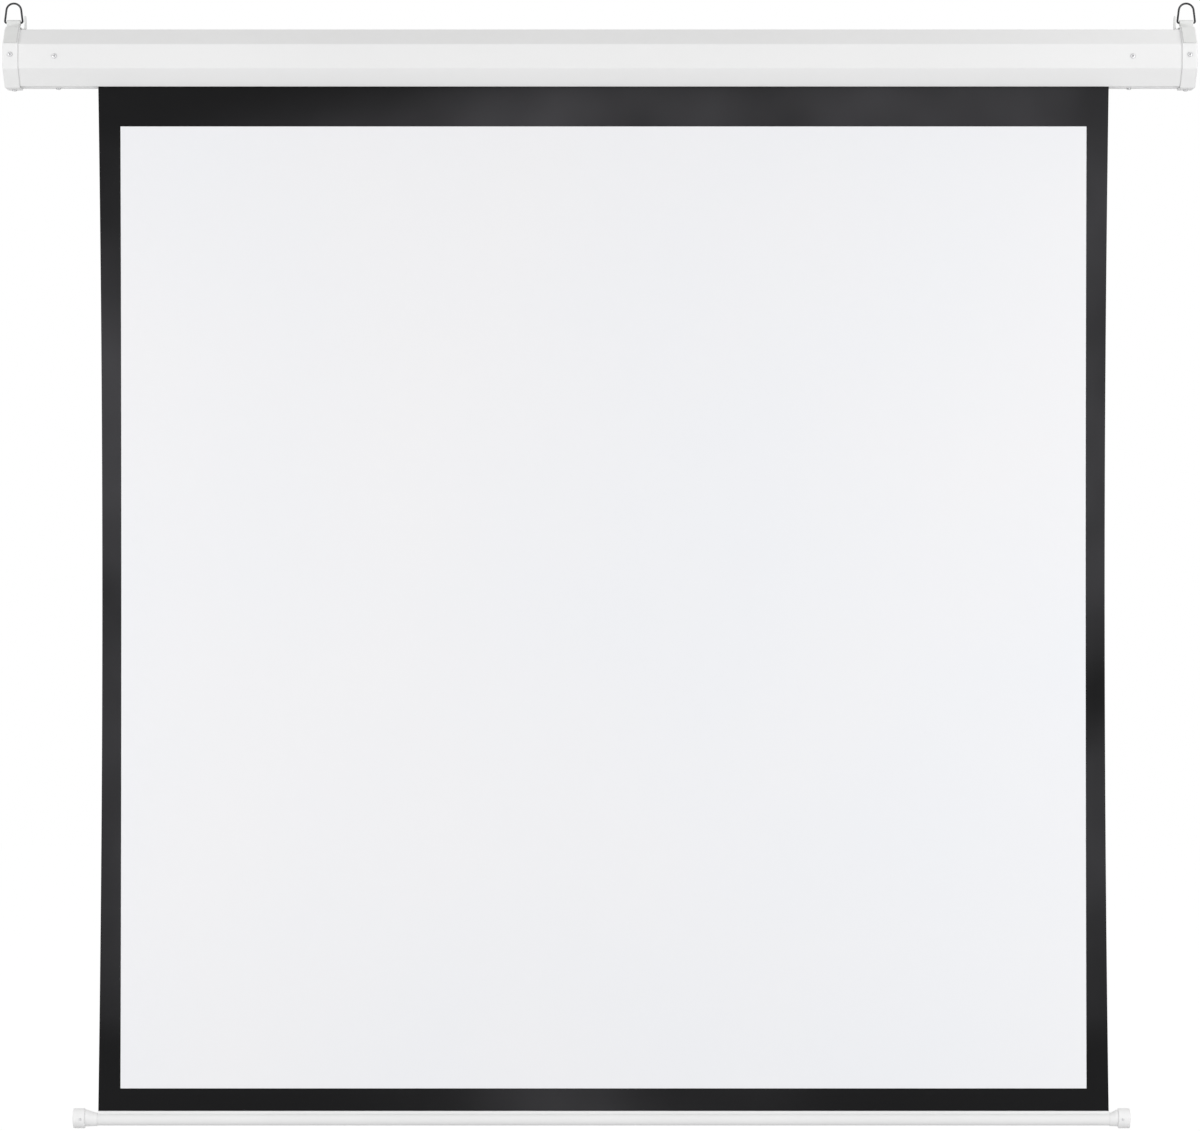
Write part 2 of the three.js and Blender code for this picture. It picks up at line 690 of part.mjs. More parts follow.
function motorParts() {
  let x = headEnd + spigotLength + seat;
  const units = [];
  for (const [name, length, radius, finish] of [
    ['limit_switch_unit', switchLength, unitRadius, blackPlastic],
    ['run_capacitor', capacitorLength, capacitorRadius, aluminium],
    ['motor_core', motorCoreLength, unitRadius, darkSteel],
    ['motor_brake', brakeLength, unitRadius, brass],
  ]) {
    units.push(unit(name, x, length, radius, finish));
    x += length + seat;
  }
  const tubeEnd = x + gearboxLength;
  const shaftEnd = tubeEnd - shaftInGearbox;
  const shaftBore = ontoX(rod(shaftRadius + seat, shaftEnd - seat, tubeEnd + overrun, unitSides));
  const gearbox = cut(ontoX(rod(unitRadius, x, tubeEnd, unitSides)), shaftBore);
  const shoulder = tubeEnd + shaftShoulder;
  const wheelEnd = shoulder + wheelLength;
  const clipEnd = wheelEnd + seat + clipThickness + seat;
  const square = squareSide / 2;
  const shaft = joined(
    ontoX(rod(shaftRadius, shaftEnd, shoulder - seat, unitSides)),
    box([shoulder - overrun, -square, -square], [clipEnd, square, square]),
  );
  const squareRoom = (from, to) =>
    box([from - overrun, -square - seat, -square - seat], [to + overrun, square + seat, square + seat]);
  const wheel = cut(
    ontoX(rod(rollerInner - seat, shoulder, wheelEnd, rollerSides)),
    ribRoom(shoulder, wheelEnd),
    squareRoom(shoulder, wheelEnd),
  );
  const clipStart = wheelEnd + seat;
  const clip = cut(
    ontoX(rod(clipRadius, clipStart, clipStart + clipThickness, unitSides)),
    squareRoom(clipStart, clipEnd),
  );
  const crownStart = headEnd + seat;
  const crownEnd = rollerStart + crownLength;
  const crown = cut(
    ontoX(
      turned(
        [
          [crownStart, tubeRadius + seat],
          [crownStart, rollerRadius],
          [rollerStart - seat, rollerRadius],
          [rollerStart - seat, rollerInner - seat],
          [crownEnd, rollerInner - seat],
          [crownEnd, tubeRadius + seat],
          [crownStart, tubeRadius + seat],
        ],
        rollerSides,
      ),
    ),
    ribRoom(rollerStart, crownEnd),
  );
  return [
    ...units,
    piece('motor_tube', ontoX(sleeve(tubeInner, tubeRadius, headEnd + seat, tubeEnd, tubeSides)), zincSteel),
    piece('gearbox', gearbox, zincSteel),
    piece('output_shaft', shaft, darkSteel),
    piece('drive_wheel', wheel, blackPlastic),
    piece('wheel_clip', clip, zincSteel),
    piece('crown_ring', crown, blackPlastic),
  ];
}

function idlerParts() {
  const plugStart = rollerEnd - plugLength;
  const flangeStart = rollerEnd + seat;
  const flangeEnd = flangeStart + crownFlange;
  const pinStart = flangeEnd - pinInPlug;
  const bushStart = idlerPlate - bushFlange - seat;
  const bushEnd = idlerPlate + bracketPlate + bushFlange;
  const pinEnd = bushEnd + clipThickness + 2 * seat;
  const inner = rollerInner - seat;
  const plugWeb = rollerEnd - plugWall;
  const plug = cut(
    ontoX(
      turned(
        [
          [plugStart, 0],
          [plugStart, inner],
          [flangeStart, inner],
          [flangeStart, rollerRadius],
          [flangeEnd, rollerRadius],
          [flangeEnd, 0],
        ],
        rollerSides,
      ),
    ),
    ribRoom(plugStart, flangeStart - overrun),
    ontoX(rod(pinRadius + seat, pinStart - seat, flangeEnd + overrun, pinSides)),
    ontoX(sleeve(pinRadius + plugWall, inner - plugWall, plugStart - overrun, plugWeb, pinSides)),
  );
  const bush = ontoX(
    turned(
      [
        [bushStart, pinRadius + seat],
        [bushStart, bushFlangeRadius],
        [idlerPlate - seat, bushFlangeRadius],
        [idlerPlate - seat, pinRadius + bushWall],
        [bushEnd, pinRadius + bushWall],
        [bushEnd, pinRadius + seat],
        [bushStart, pinRadius + seat],
      ],
      pinSides,
    ),
  );
  const clipStart = bushEnd + seat;
  return [
    piece('idler_plug', plug, blackPlastic),
    piece('idler_pin', ontoX(rod(pinRadius, pinStart, pinEnd, pinSides)), zincSteel),
    piece('idler_bush', bush, whitePlastic),
    piece(
      'idler_clip',
      ontoX(sleeve(pinRadius + seat, clipRadius, clipStart, clipStart + clipThickness, pinSides)),
      zincSteel,
    ),
  ];
}

// The control box hangs from the casing's top wall. Its group's origin is the middle of its top face.
function controlParts() {
  const [hl, hw] = [boxLength / 2, boxWidth / 2];
  const shell = cut(
    box([-hl, -hw, -boxHeight], [hl, hw, 0]),
    box([boxWall - hl, boxWall - hw, -boxHeight - overrun], [hl - boxWall, hw - boxWall, -boxWall]),
  );
  const bossEnd = -boxWall - bossLength;
  const sides = [-boxScrewGap / 2, boxScrewGap / 2];
  const atScrews = (body) => sides.map((side) => body.translate([side, boxScrewSet, 0]));
  const bosses = atScrews(rod(bossRadius, bossEnd, -boxWall / 2, screwSides));
  const screwRoom = atScrews(rod(screwHole, bossEnd - overrun, overrun, screwSides));
  const leadRoom = rod(leadRadius + seat, hl - boxWall - overrun, hl + overrun, leadSides);
  const leadHoleInBox = ontoX(leadRoom, rollerSet - leadSet, leadRise - insideHalf + seat);
  const boardTop = bossEnd - seat;
  const boardEdge = boxWall + boardMargin;
  const board = box(
    [boardEdge - hl, boardEdge - hw, boardTop - boardThickness],
    [hl - boardEdge, hw - boardEdge, boardTop],
  );
  const below = boardTop - boardThickness - seat;
  const terminals = box(
    [boardEdge - hl, -terminalWidth / 2, below - terminalHeight],
    [boardEdge - hl + terminalLength, terminalWidth / 2, below],
  );
  const terminalBore = rod(
    terminalHole,
    below - terminalHeight - overrun,
    below - terminalHeight / 2,
    screwSides / 2,
  );
  const terminalBores = Array.from({ length: terminalHoles }, (_, k) =>
    terminalBore.translate([
      boardEdge - hl + terminalLength / 2,
      ((k + 0.5) / terminalHoles - 0.5) * terminalWidth,
      0,
    ]),
  );
  const relayStart = boardEdge - hl + terminalLength + relayGap;
  const relays = ['up', 'down'].map((name, k) => {
    const from = relayStart + k * (relayLength + relayGap);
    return piece(
      `${name}_relay`,
      box([from, -relayWidth / 2, below - relayHeight], [from + relayLength, relayWidth / 2, below]),
      blackPlastic,
    );
  });
  const lid = joined(
    box([-hl, -hw, -boxHeight - seat - boxWall], [hl, hw, -boxHeight - seat]),
    box(
      [boxWall + seat - hl, boxWall + seat - hw, -boxHeight - seat - boxWall / 2],
      [hl - boxWall - seat, hw - boxWall - seat, -boxHeight + boxWall],
    ),
  );
  return [
    piece('control_box', cut(joined(shell, ...bosses), ...screwRoom, leadHoleInBox), blackPlastic),
    piece('control_box_cover', lid, blackPlastic),
    piece('control_board', board, boardGreen),
    piece('terminal_block', cut(terminals, ...terminalBores), whitePlastic),
    ...relays,
  ];
}

// The motor's lead runs from the control box through the motor bracket into the motor head.
function motorLead() {
  const from = -boxSet + boxLength / 2 - leadInBox;
  const to = headStart + leadSocket - seat;
  return piece('motor_lead', ontoX(rod(leadRadius, from, to, leadSides)), blackPlastic);
}

function grommet() {
  const neck = grommetBore + grommetNeck;
  const flange = neck + grommetLip;
  const inside = insideHalf - seat;
  const outside = casingHalf + seat;
  const body = turned(
    [
      [inside - grommetFlange, grommetBore],
      [inside - grommetFlange, flange],
      [inside, flange],
      [inside, neck],
      [outside, neck],
      [outside, flange],
      [outside + grommetFlange, flange],
      [outside + grommetFlange, grommetBore],
      [inside - grommetFlange, grommetBore],
    ],
    grommetSides,
  ).rotate([-90, 0, 0]);
  return piece('mains_grommet', body.translate([-boxSet, 0, 0]), rubber);
}

// A four-sided outline whose side edges draw in towards half height.
function waisted(width, top, bottom, waist, waistTop) {
  const outline = [];
  for (let k = 0; k <= waistSteps; k += 1) {
    const share = k / waistSteps;
    const inset = waist * 4 * share * (1 - share);
    outline.push([width / 2 - inset, waistTop + (bottom - waistTop) * share]);
  }
  const right = top > waistTop ? [[width / 2, top], ...outline] : outline;
  const left = right.map(([x, z]) => [-x, z]).reverse();
  return [...right, ...left].map(([x, z]) => new THREE.Vector2(x, z)).reverse();
}

// The sheet hangs from the front of the roller, and its black border is printed on its face. Their shared
// plane is y = 0 in their group.
function clothParts() {
  const hemTop = -barDrop + hemUp + hemRod + seat + hemCloth + seat;
  const pictureTop = -casingHalf - topBorder;
  const outline = (bottom) => new THREE.Shape(waisted(clothWidth, 0, bottom, sheetWaist, -casingHalf));
  const border = outline(-clothBottom);
  border.holes.push(
    new THREE.Path(waisted(pictureWidth, pictureTop, pictureTop - pictureHeight, pictureWaist, pictureTop)),
  );
  return [
    piece('projection_cloth', upright(outline(hemTop), sheetThickness, false), whiteCloth),
    piece('black_border', upright(border, borderThickness, true), blackCloth),
  ];
}

// Height of the hem rod above the bar's axis, where the hem meets the inside of the bar.
const hemUp = barRadius - barWall - seat - hemCloth - seat - hemRod;

// Section of the bottom bar, grown by an allowance for the caps that fit over it.
function barSection(from, to, grow) {
  const round = ontoX(rod(barRadius + grow, from, to, barSides));
  const half = barSlot / 2 + lipWall + grow;
  return joined(round, box([from, -half, 0], [to, half, barRadius + lipStands + grow]));
}

function bottomBarParts() {
  const half = barLength / 2;
  const tubeHalf = half - barCapPlate - seat;
  const capUp = lipStands / 2;
  const bore = ontoX(rod(barRadius - barWall, -half, half, barSides));
  const slot = box([-half, -barSlot / 2, 0], [half, barSlot / 2, barRadius + lipStands + overrun]);
  const screwDepth = barCapRadius - barCapScrewLength;
  const screwX = half - barCapPlate - barCapLength / 2;
  const screwRooms = [-1, 1].map((side) =>
    rod(barCapScrew + seat, screwDepth - seat, barCapRadius + overrun, screwSides)
      .rotate([90, 0, 0])
      .translate([side * screwX, 0, capUp]),
  );
  const bar = cut(barSection(-tubeHalf, tubeHalf, 0), bore, slot, ...screwRooms);
  const capBody = cut(
    ontoX(
      turned(
        [
          [-half, 0],
          [-half, barCapRadius - barCapEdge],
          [-half + barCapEdge, barCapRadius],
          [-half + barCapLength, barCapRadius],
          [-half + barCapLength, barCapRadius - barCapStep],
          [-half + barCapLength + sleeveLength, sleeveEnd],
          [-half + barCapLength + sleeveLength, 0],
        ],
        barSides,
      ),
    ).translate([0, 0, capUp]),
    barSection(-half + barCapPlate, -half + barCapLength + sleeveLength + overrun, seat),
  );
  const caps = [['left', -1], ['right', 1]].map(([end, side]) =>
    piece(
      `${end}_bar_cap`,
      cut(side < 0 ? capBody : capBody.mirror([1, 0, 0]), ...screwRooms),
      whitePlastic,
    ),
  );
  const capScrews = [['left', -1], ['right', 1]].map(([end, side]) => {
    const mesh = piece(
      `${end}_bar_cap_screw`,
      cut(
        rod(barCapScrew, screwDepth, barCapRadius - seat, screwSides),
        rod(barCapScrew / 2, barCapRadius - crossDepth, barCapRadius + overrun, 6),
      ),
      zincSteel,
    );
    mesh.position.set(side * screwX, 0, capUp);
    mesh.rotation.x = Math.PI / 2;
    return mesh;
  });
  const hemFrom = clothShift - barShift - clothWidth / 2 + hemShort;
  const hemTo = clothShift - barShift + clothWidth / 2 - hemShort;
  const loop = sleeve(hemRod + seat, hemRod + seat + hemCloth, hemFrom, hemTo, hemSides);
  return [
    piece('bottom_bar', bar, paint),
    ...caps,
    ...capScrews,
    piece('hem_rod', ontoX(rod(hemRod, hemFrom, hemTo, hemSides), 0, hemUp), zincSteel),
    piece('hem_loop', ontoX(loop, 0, hemUp), blackCloth),
  ];
}

const motorPlateCut = [motorPlate - bracketPlate - overrun, motorPlate + overrun];
const leadHole = ontoX(rod(leadRadius + seat, ...motorPlateCut, leadSides), rollerSet - leadSet, leadRise);
const headScrewHoles = [-1, 1].map((side) =>
  ontoX(rod(screwHole, ...motorPlateCut, screwSides), rollerSet + side * headScrewSet),
);
const bushHole = ontoX(
  rod(pinRadius + bushWall + seat, idlerPlate - overrun, idlerPlate + bracketPlate + overrun, pinSides),
  rollerSet,
);

const lead = motorLead();
lead.position.set(0, rollerSet - leadSet, leadRise);

const screen = new THREE.Group();
screen.add(
  group(
    [0, 0, casingMiddle],
    casing(),
    endCap('left', -1),
    endCap('right', 1),
    hangingStrap('left', -1),
    hangingStrap('right', 1),
    bail('left', -1),
    bail('right', 1),
    ...screws(),
    grommet(),
    bracket('motor_bracket', motorPlate, -1, [leadHole, ...headScrewHoles]),
    bracket('idler_bracket', idlerPlate, 1, [bushHole]),
    lead,
    group([-boxSet, 0, insideHalf - seat], ...controlParts()),
    group([0, rollerSet, 0], ...rollerParts(), ...motorParts(), ...idlerParts()),
    group([0, rollerSet, 0], motorHead(), ...headScrews(), ...limitScrews()),
    group([clothShift, sheetFront, 0], ...clothParts()),
    group([barShift, clothSet, -barDrop], ...bottomBarParts()),
  ),
);

export default screen;
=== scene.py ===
import json
import math

import bmesh
import bpy
from bpy.props import FloatProperty, FloatVectorProperty, PointerProperty
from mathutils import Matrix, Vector


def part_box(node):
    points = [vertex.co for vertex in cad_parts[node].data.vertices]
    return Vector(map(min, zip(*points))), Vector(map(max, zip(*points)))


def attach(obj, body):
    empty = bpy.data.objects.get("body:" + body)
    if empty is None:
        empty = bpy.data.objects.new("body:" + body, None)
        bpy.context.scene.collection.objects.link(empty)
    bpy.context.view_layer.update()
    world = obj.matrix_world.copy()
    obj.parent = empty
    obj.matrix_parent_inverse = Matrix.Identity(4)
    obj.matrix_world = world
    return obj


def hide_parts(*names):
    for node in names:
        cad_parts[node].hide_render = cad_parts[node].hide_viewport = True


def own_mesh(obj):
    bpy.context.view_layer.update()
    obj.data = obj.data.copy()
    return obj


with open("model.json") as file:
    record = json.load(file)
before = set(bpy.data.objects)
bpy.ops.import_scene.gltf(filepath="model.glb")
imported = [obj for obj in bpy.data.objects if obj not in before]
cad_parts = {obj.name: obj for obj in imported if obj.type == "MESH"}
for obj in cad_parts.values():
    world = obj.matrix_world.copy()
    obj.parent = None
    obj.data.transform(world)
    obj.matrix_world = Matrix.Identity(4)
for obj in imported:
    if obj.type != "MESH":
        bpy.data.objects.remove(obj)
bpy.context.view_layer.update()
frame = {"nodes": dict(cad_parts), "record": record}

bl_info = {
    "name": "Motorized projector screen",
    "version": (1, 0, 0),
    "blender": (4, 5, 0),
    "location": "3D View > Sidebar > Screen",
    "description": "Makes the casing, hangers, cloth and bottom bar of a roll-down screen",
    "category": "Object",
}

MM = 0.001
ENDS = (("left", -1), ("right", 1))
SQUARE = ((-1, -1), (1, -1), (1, 1), (-1, 1))
# How far a screw that points up is turned about X to stand on each of the faces.
FRONT, UP, DOWN, REAR_SLANT = math.pi / 2, 0.0, math.pi, -math.pi / 4


def box_middle(name):
    low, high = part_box(name)
    return (low + high) / 2


def box_end(name, side):
    """The x of a CAD node's left end, for side -1, or of its right end, for side 1."""
    low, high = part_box(name)
    return low.x if side < 0 else high.x


# The casing's middle and the plane of the cloth follow from the CAD frame.
CASING_Z = box_middle("casing").z
CLOTH_Y = box_middle("projection_cloth").y


def number(name, description, default, **kind):
    return FloatProperty(name=name, description=description, default=default, min=0, **kind)


def length(name, description, millimetres):
    return number(name, description, millimetres * MM, unit="LENGTH", precision=5)


def share(name, description, default):
    return number(name, description, default, max=1, subtype="FACTOR")


def colour(name, description, *rgb):
    return FloatVectorProperty(
        name=name, description=description, default=rgb, min=0, max=1, subtype="COLOR"
    )


class CasingSizes(bpy.types.PropertyGroup):
    flats: length("Across flats", "Width of the octagonal casing from face to face", 90)
    wall: length("Wall", "Thickness of the sheet steel", 1.2)
    corner: length("Corner", "Outer radius of each fold", 3.2)
    slot_ahead: length("Slot ahead", "From the cloth to the slot's front edge", 3.8)
    slot_behind: length("Slot behind", "From the cloth to the slot's back edge", 7)
    lip: length("Lip", "Height of the folded edges of the slot", 5)
    cap_wall: length("Cap wall", "Thickness of the end caps' sides", 2.2)
    cap_face: length("Cap face", "Thickness of the end caps' faces", 3)
    cap_gap: length("Cap gap", "Between the casing and its end caps", 0.3)
    cap_corner: length("Cap corner", "Outer radius of the end caps' folds", 4.2)
    cap_round: length("Cap edge", "Radius of the end caps' outer edge", 2.4)
    grommet_hole: length("Grommet hole", "Radius of the hole for the mains lead", 6.1)
    grommet_bore: length("Grommet bore", "Radius of the hole in the grommet itself", 4)


class HangerSizes(bpy.types.PropertyGroup):
    strap_width: length("Strap width", "Width of the steel strap over each cap", 20)
    strap: length("Strap thickness", "Thickness of the strap and of its ear", 1.6)
    strap_gap: length("Strap gap", "Between the strap and the end cap", 0.3)
    strap_corner: length("Strap corner", "Outer radius of the strap's folds", 4.4)
    strap_foot: length("Strap foot", "Height of the strap's ends above the casing's middle", 20.95)
    barrel: length("Barrel", "Outer radius of the barrel that the bail turns in", 4.6)
    barrel_length: length("Barrel length", "Length of the barrel", 22)
    ear_away: length("Ear away", "From the strap's side to the ear's face", 9.2)
    ear_width: length("Ear width", "Width of the upright ear", 22)
    ear_hole: length("Ear hole", "Radius of the hole in the ear", 3.5)
    ear_bend: length("Ear bend", "Inner radius of the bend at the ear's foot", 1.6)
    wire: length("Wire", "Diameter of the bail's wire", 3.2)
    bail_feet: length("Bail feet", "Half the width of the bail at its feet", 14.2)
    bail_crown: length("Bail crown", "Half the width where the legs would meet the crown", 10.4)
    bail_bend: length("Bail bend", "Radius of the bend at each foot", 2.6)
    bail_ends: length("Bail ends", "How far the wire goes into the barrel", 7)


class ScrewSizes(bpy.types.PropertyGroup):
    head: length("Head", "Radius of the pan head", 3.75)
    height: length("Head height", "Height of the pan head", 2.4)
    shank: length("Shank", "Radius of the shank", 2)
    shank_length: length("Shank length", "How much of the shank is made", 4)
    cross: length("Cross", "Length of the cross recess", 4.4)
    cross_width: length("Cross width", "Width of each arm of the recess", 0.9)
    cross_depth: length("Cross depth", "Depth of the recess", 1.2)
    small: share("Small screws", "Size of the bottom bar's screws beside the others", 0.58)


class ClothSizes(bpy.types.PropertyGroup):
    picture_width: length("Picture width", "Width of the white picture", 1524)
    picture_top: length("Top border", "From the casing's underside to the picture", 62.5)
    picture_height: length("Picture height", "Height of the white picture", 1517.5)
    waist: length("Waist", "How far each side edge draws in at half height", 6)
    picture_waist: length("Picture waist", "How far the printed edge follows it", 1.2)
    ripple: length("Ripple", "How far the hanging cloth swings behind its plane", 2.2)
    curl: length("Curl", "How far the side edges curl to the back at half height", 2.2)
    travel: length("Travel", "How far the bar rises", 1609)


class BarSizes(bpy.types.PropertyGroup):
    tube: length("Tube", "Outer radius of the bottom bar", 9.75)
    wall: length("Wall", "Thickness of the bar's wall", 1.3)
    lip: length("Lip", "Height of the slot's lips above the tube", 3.5)
    lip_wall: length("Lip wall", "Thickness of each lip", 1.3)
    slot: length("Slot", "Width of the slot that the hem is held in", 2.2)
    cap: length("Cap", "Radius of the end caps' drums", 15.75)
    cap_length: length("Cap length", "Length of each drum", 18.5)
    cap_round: length("Cap edge", "Radius of the drums' outer edge", 1.9)
    cap_rise: length("Cap rise", "How far the drum's axis lies above the bar's axis", 1.75)
    sleeve: length("Sleeve", "Radius of the sleeve where it meets the drum", 13.2)
    sleeve_end: length("Sleeve end", "Radius where the sleeve runs out on the bar", 10.5)
    sleeve_stop: length("Sleeve stop", "From the sleeve's end to the cloth", 1.2)


class ScreenFinishes(bpy.types.PropertyGroup):
    paint: colour("Casing paint", "Powder coat of the casing", 0.86, 0.86, 0.86)
    bar_paint: colour("Bar paint", "Lacquer of the bottom bar", 0.83, 0.83, 0.83)
    plastic: colour("Cap plastic", "Moulded end caps", 0.87, 0.87, 0.87)
    strap: colour("Strap", "Lacquer of the hanging straps", 0.79, 0.795, 0.785)
    bail: colour("Bail steel", "Dark wire of the bails", 0.045, 0.045, 0.048)
    screw: colour("Screws", "Nickel of the screws", 0.70, 0.70, 0.71)
    # Painted shade: the screws' recesses and rims are darkened towards this colour.
    grime: colour("Painted screw shade", "Where the screws' recesses are dark", 0.14, 0.14, 0.145)
    picture: colour("Picture", "Matte white of the picture", 0.862, 0.875, 0.905)
    picture_warm: colour("Warm patches", "Where that white is warmer", 0.888, 0.886, 0.9)
    border: colour("Border", "Black print round the picture", 0.0085, 0.0085, 0.009)
    # Painted sheen: the black print's lighter patches stand in for light reflected off it.
    border_painted_sheen: colour("Border painted sheen", "Where the black print shines", 0.055, 0.054, 0.058)
    backing: colour("Backing", "Black back of the cloth", 0.014, 0.014, 0.015)


class StageSettings(bpy.types.PropertyGroup):
    distance: length("Camera distance", "From the camera to the hook line", 7000)
    drop: length("Camera drop", "How far the camera is below the hook line", 886.6)
    lens: number("Lens", "Focal length", 132.86, unit="CAMERA")
    floor_drop: length("Floor drop", "From the hook line to the floor", 2350)
    floor_reach: length("Floor reach", "From the middle of the floor to its edges", 16000)
    floor: share("Floor", "Share of light that the floor gives back", 0.66)
    sky: share("Sky", "Level of the light from all round", 0.60)
    left: share("Left softbox", "Level that it gives the picture's middle", 0.205)
    right: share("Right softbox", "Level that it gives the picture's middle", 0.225)
    aside: length("Softboxes aside", "From the middle to each softbox", 2800)
    ahead: length("Softboxes ahead", "From the cloth forward to the softboxes", 2800)
    softbox_drop: length("Softbox drop", "From the hook line to the softboxes' middle", 760)
    softbox: length("Softbox", "Width of each softbox", 1200)
    lamp: length("Lamps over the ends", "Width of the lamp over each end", 400)
    over_left: number("Over left", "Power of the lamp over the left end", 0.5, unit="POWER")
    over_right: number("Over right", "Power of the lamp over the right end", 2.0, unit="POWER")


def over_caps(scene):
    """From the casing's middle to the outer faces of its end caps."""
    sizes = scene.casing_sizes
    return sizes.flats / 2 + sizes.cap_gap + sizes.cap_wall


# ---------------------------------------------------------------- node trees


def fill(made, inputs):
    """Sets a node's inputs, by name or number, to values, sockets or other nodes' first outputs."""
    for key, value in inputs.items():
        if isinstance(value, bpy.types.Node):
            value = value.outputs[0]
        if isinstance(value, bpy.types.NodeSocket):
            made.id_data.links.new(value, made.inputs[key])
        else:
            made.inputs[key].default_value = value
    return made


def node(tree, kind, inputs=None, **settings):
    made = tree.nodes.new(kind)
    for key, value in settings.items():
        setattr(made, key, value)
    return fill(made, inputs or {})


def blended(tree, factor, first, second):
    """The colour between two, by a factor."""
    inputs = {0: factor, 6: first, 7: second}
    return node(tree, "ShaderNodeMix", inputs, data_type="RGBA").outputs[2]


def maths(tree, operation, *values):
    return node(tree, "ShaderNodeMath", dict(enumerate(values)), operation=operation)


def ranged(tree, value, low=0.0, high=1.0, first=0.0, last=1.0, **settings):
    """A value between low and high, moved to between first and last."""
    inputs = {"Value": value, "From Min": low, "From Max": high, "To Min": first, "To Max": last}
    return node(tree, "ShaderNodeMapRange", inputs, **settings)


def new_tree(name, kind, takes, gives):
    """A node group with named sockets, and the outputs of its input node."""
    tree = bpy.data.node_groups.new(name, kind)
    for in_out, sockets in (("INPUT", takes), ("OUTPUT", gives)):
        for label, holds, *default in sockets:
            socket = tree.interface.new_socket(
                label, in_out=in_out, socket_type="NodeSocket" + holds
            )
            if default:
                socket.default_value = default[0]
    return tree, tree.nodes.new("NodeGroupInput").outputs


def growing_tree(name, *takes):
    """A Geometry Nodes tree with named inputs, and the outputs of its input node."""
    takes += (("Material", "Material"),)
    return new_tree(name, "GeometryNodeTree", takes, [("Geometry", "Geometry")])


def end_growing(tree, geometry, material):
    """The end of every Geometry Nodes tree: instances made real, then their material."""
    real = node(tree, "GeometryNodeRealizeInstances", {"Geometry": geometry})
    painted = node(tree, "GeometryNodeSetMaterial", {"Geometry": real, "Material": material})
    node(tree, "NodeGroupOutput", {"Geometry": painted})


def drawn_along(tree, curve, section):
    inputs = {"Curve": curve, "Profile Curve": section, "Fill Caps": True}
    return node(tree, "GeometryNodeCurveToMesh", inputs)


def sweep_tree():
    """Sweeps a closed section, drawn in (y, z), along the X axis."""
    tree, given = growing_tree(
        "Sweep along the casing",
        ("Section", "Geometry"),
        ("From", "Float", -1.0),
        ("To", "Float", 1.0),
    )
    place = node(tree, "ShaderNodeSeparateXYZ", {0: node(tree, "GeometryNodeInputPosition")})
    y, z = (maths(tree, "MULTIPLY", place.outputs[axis], -1.0) for axis in "YZ")
    flat = node(tree, "ShaderNodeCombineXYZ", {"X": y, "Y": z})
    laid = node(tree, "GeometryNodeSetPosition", {"Geometry": given["Section"], "Position": flat})
    section = node(tree, "GeometryNodeMeshToCurve", {0: laid})
    start, stop = (node(tree, "ShaderNodeCombineXYZ", {"X": given[end]}) for end in ("From", "To"))
    line = node(tree, "GeometryNodeCurvePrimitiveLine", {"Start": start, "End": stop})
    end_growing(tree, drawn_along(tree, line, section), given["Material"])


def wire_tree():
    """Bends a wire along a path of corners; each corner's own radius is its attribute "bend"."""
    tree, given = growing_tree(
        "Bent wire",
        ("Corners", "Geometry"),
        ("Radius", "Float", 0.001),
        ("Sides", "Int", 16),
        ("Steps", "Int", 24),
    )
    inputs = {
        "Curve": node(tree, "GeometryNodeMeshToCurve", {0: given["Corners"]}),
        "Radius": node(tree, "GeometryNodeInputNamedAttribute", {"Name": "bend"}),
        "Limit Radius": True,
        "Count": given["Steps"],
    }
    bent = node(tree, "GeometryNodeFilletCurve", inputs, mode="POLY")
    inputs = {"Resolution": given["Sides"], "Radius": given["Radius"]}
    section = node(tree, "GeometryNodeCurvePrimitiveCircle", inputs)
    end_growing(tree, drawn_along(tree, bent, section), given["Material"])


def fastener_tree():
    """Puts a screw on each point, turned by its attribute "turn", with its cross at any angle."""
    tree, given = growing_tree(
        "Screws at their places",
        ("Places", "Geometry"),
        ("Screw", "Object"),
        ("Size", "Float", 1.0),
        ("Seed", "Int", 4),
    )
    turn = {"Name": "turn"}
    inputs = {
        "Points": node(tree, "GeometryNodeMeshToPoints", {"Mesh": given["Places"]}),
        "Instance": node(tree, "GeometryNodeObjectInfo", {0: given["Screw"]}).outputs["Geometry"],
        "Rotation": node(tree, "GeometryNodeInputNamedAttribute", turn, data_type="FLOAT_VECTOR"),
        "Scale": given["Size"],
    }
    set_on = node(tree, "GeometryNodeInstanceOnPoints", inputs)
    quarter = {"Seed": given["Seed"], 2: 0.0, 3: math.pi / 2}
    angle = node(tree, "FunctionNodeRandomValue", quarter, data_type="FLOAT").outputs[1]
    twist = node(tree, "ShaderNodeCombineXYZ", {"Z": angle})
    inputs = {"Instances": set_on, "Rotation": twist, "Local Space": True}
    turned_on = node(tree, "GeometryNodeRotateInstances", inputs)
    end_growing(tree, turned_on, given["Material"])


# ---------------------------------------------------------------- meshes


def grown(obj, tree, **values):
    """The plain mesh that a Geometry Nodes tree makes of an object, with its inputs set by name."""
    modifier = obj.modifiers.new("Grow", "NODES")
    modifier.node_group = bpy.data.node_groups[tree]
    for socket in modifier.node_group.interface.items_tree:
        if socket.name in values:
            modifier[socket.identifier] = values[socket.name]
    return settled(obj)


def settled(obj):
    """The object with its modifiers worked into a plain mesh."""
    bpy.context.view_layer.update()
    depsgraph = bpy.context.evaluated_depsgraph_get()
    mesh = bpy.data.meshes.new_from_object(obj.evaluated_get(depsgraph))
    obj.modifiers.clear()
    old, obj.data = obj.data, mesh
    bpy.data.meshes.remove(old)
    mesh.name = obj.name
    if not mesh.polygons:
        raise RuntimeError(f"{obj.name} came out empty")
    return obj


def new_object(name, points, faces=(), edges=(), material=None):
    mesh = bpy.data.meshes.new(name)
    mesh.from_pydata(points, edges, faces)
    mesh.update()
    if material:
        mesh.materials.append(material)
    obj = bpy.data.objects.new(name, mesh)
    bpy.context.scene.collection.objects.link(obj)
    return obj


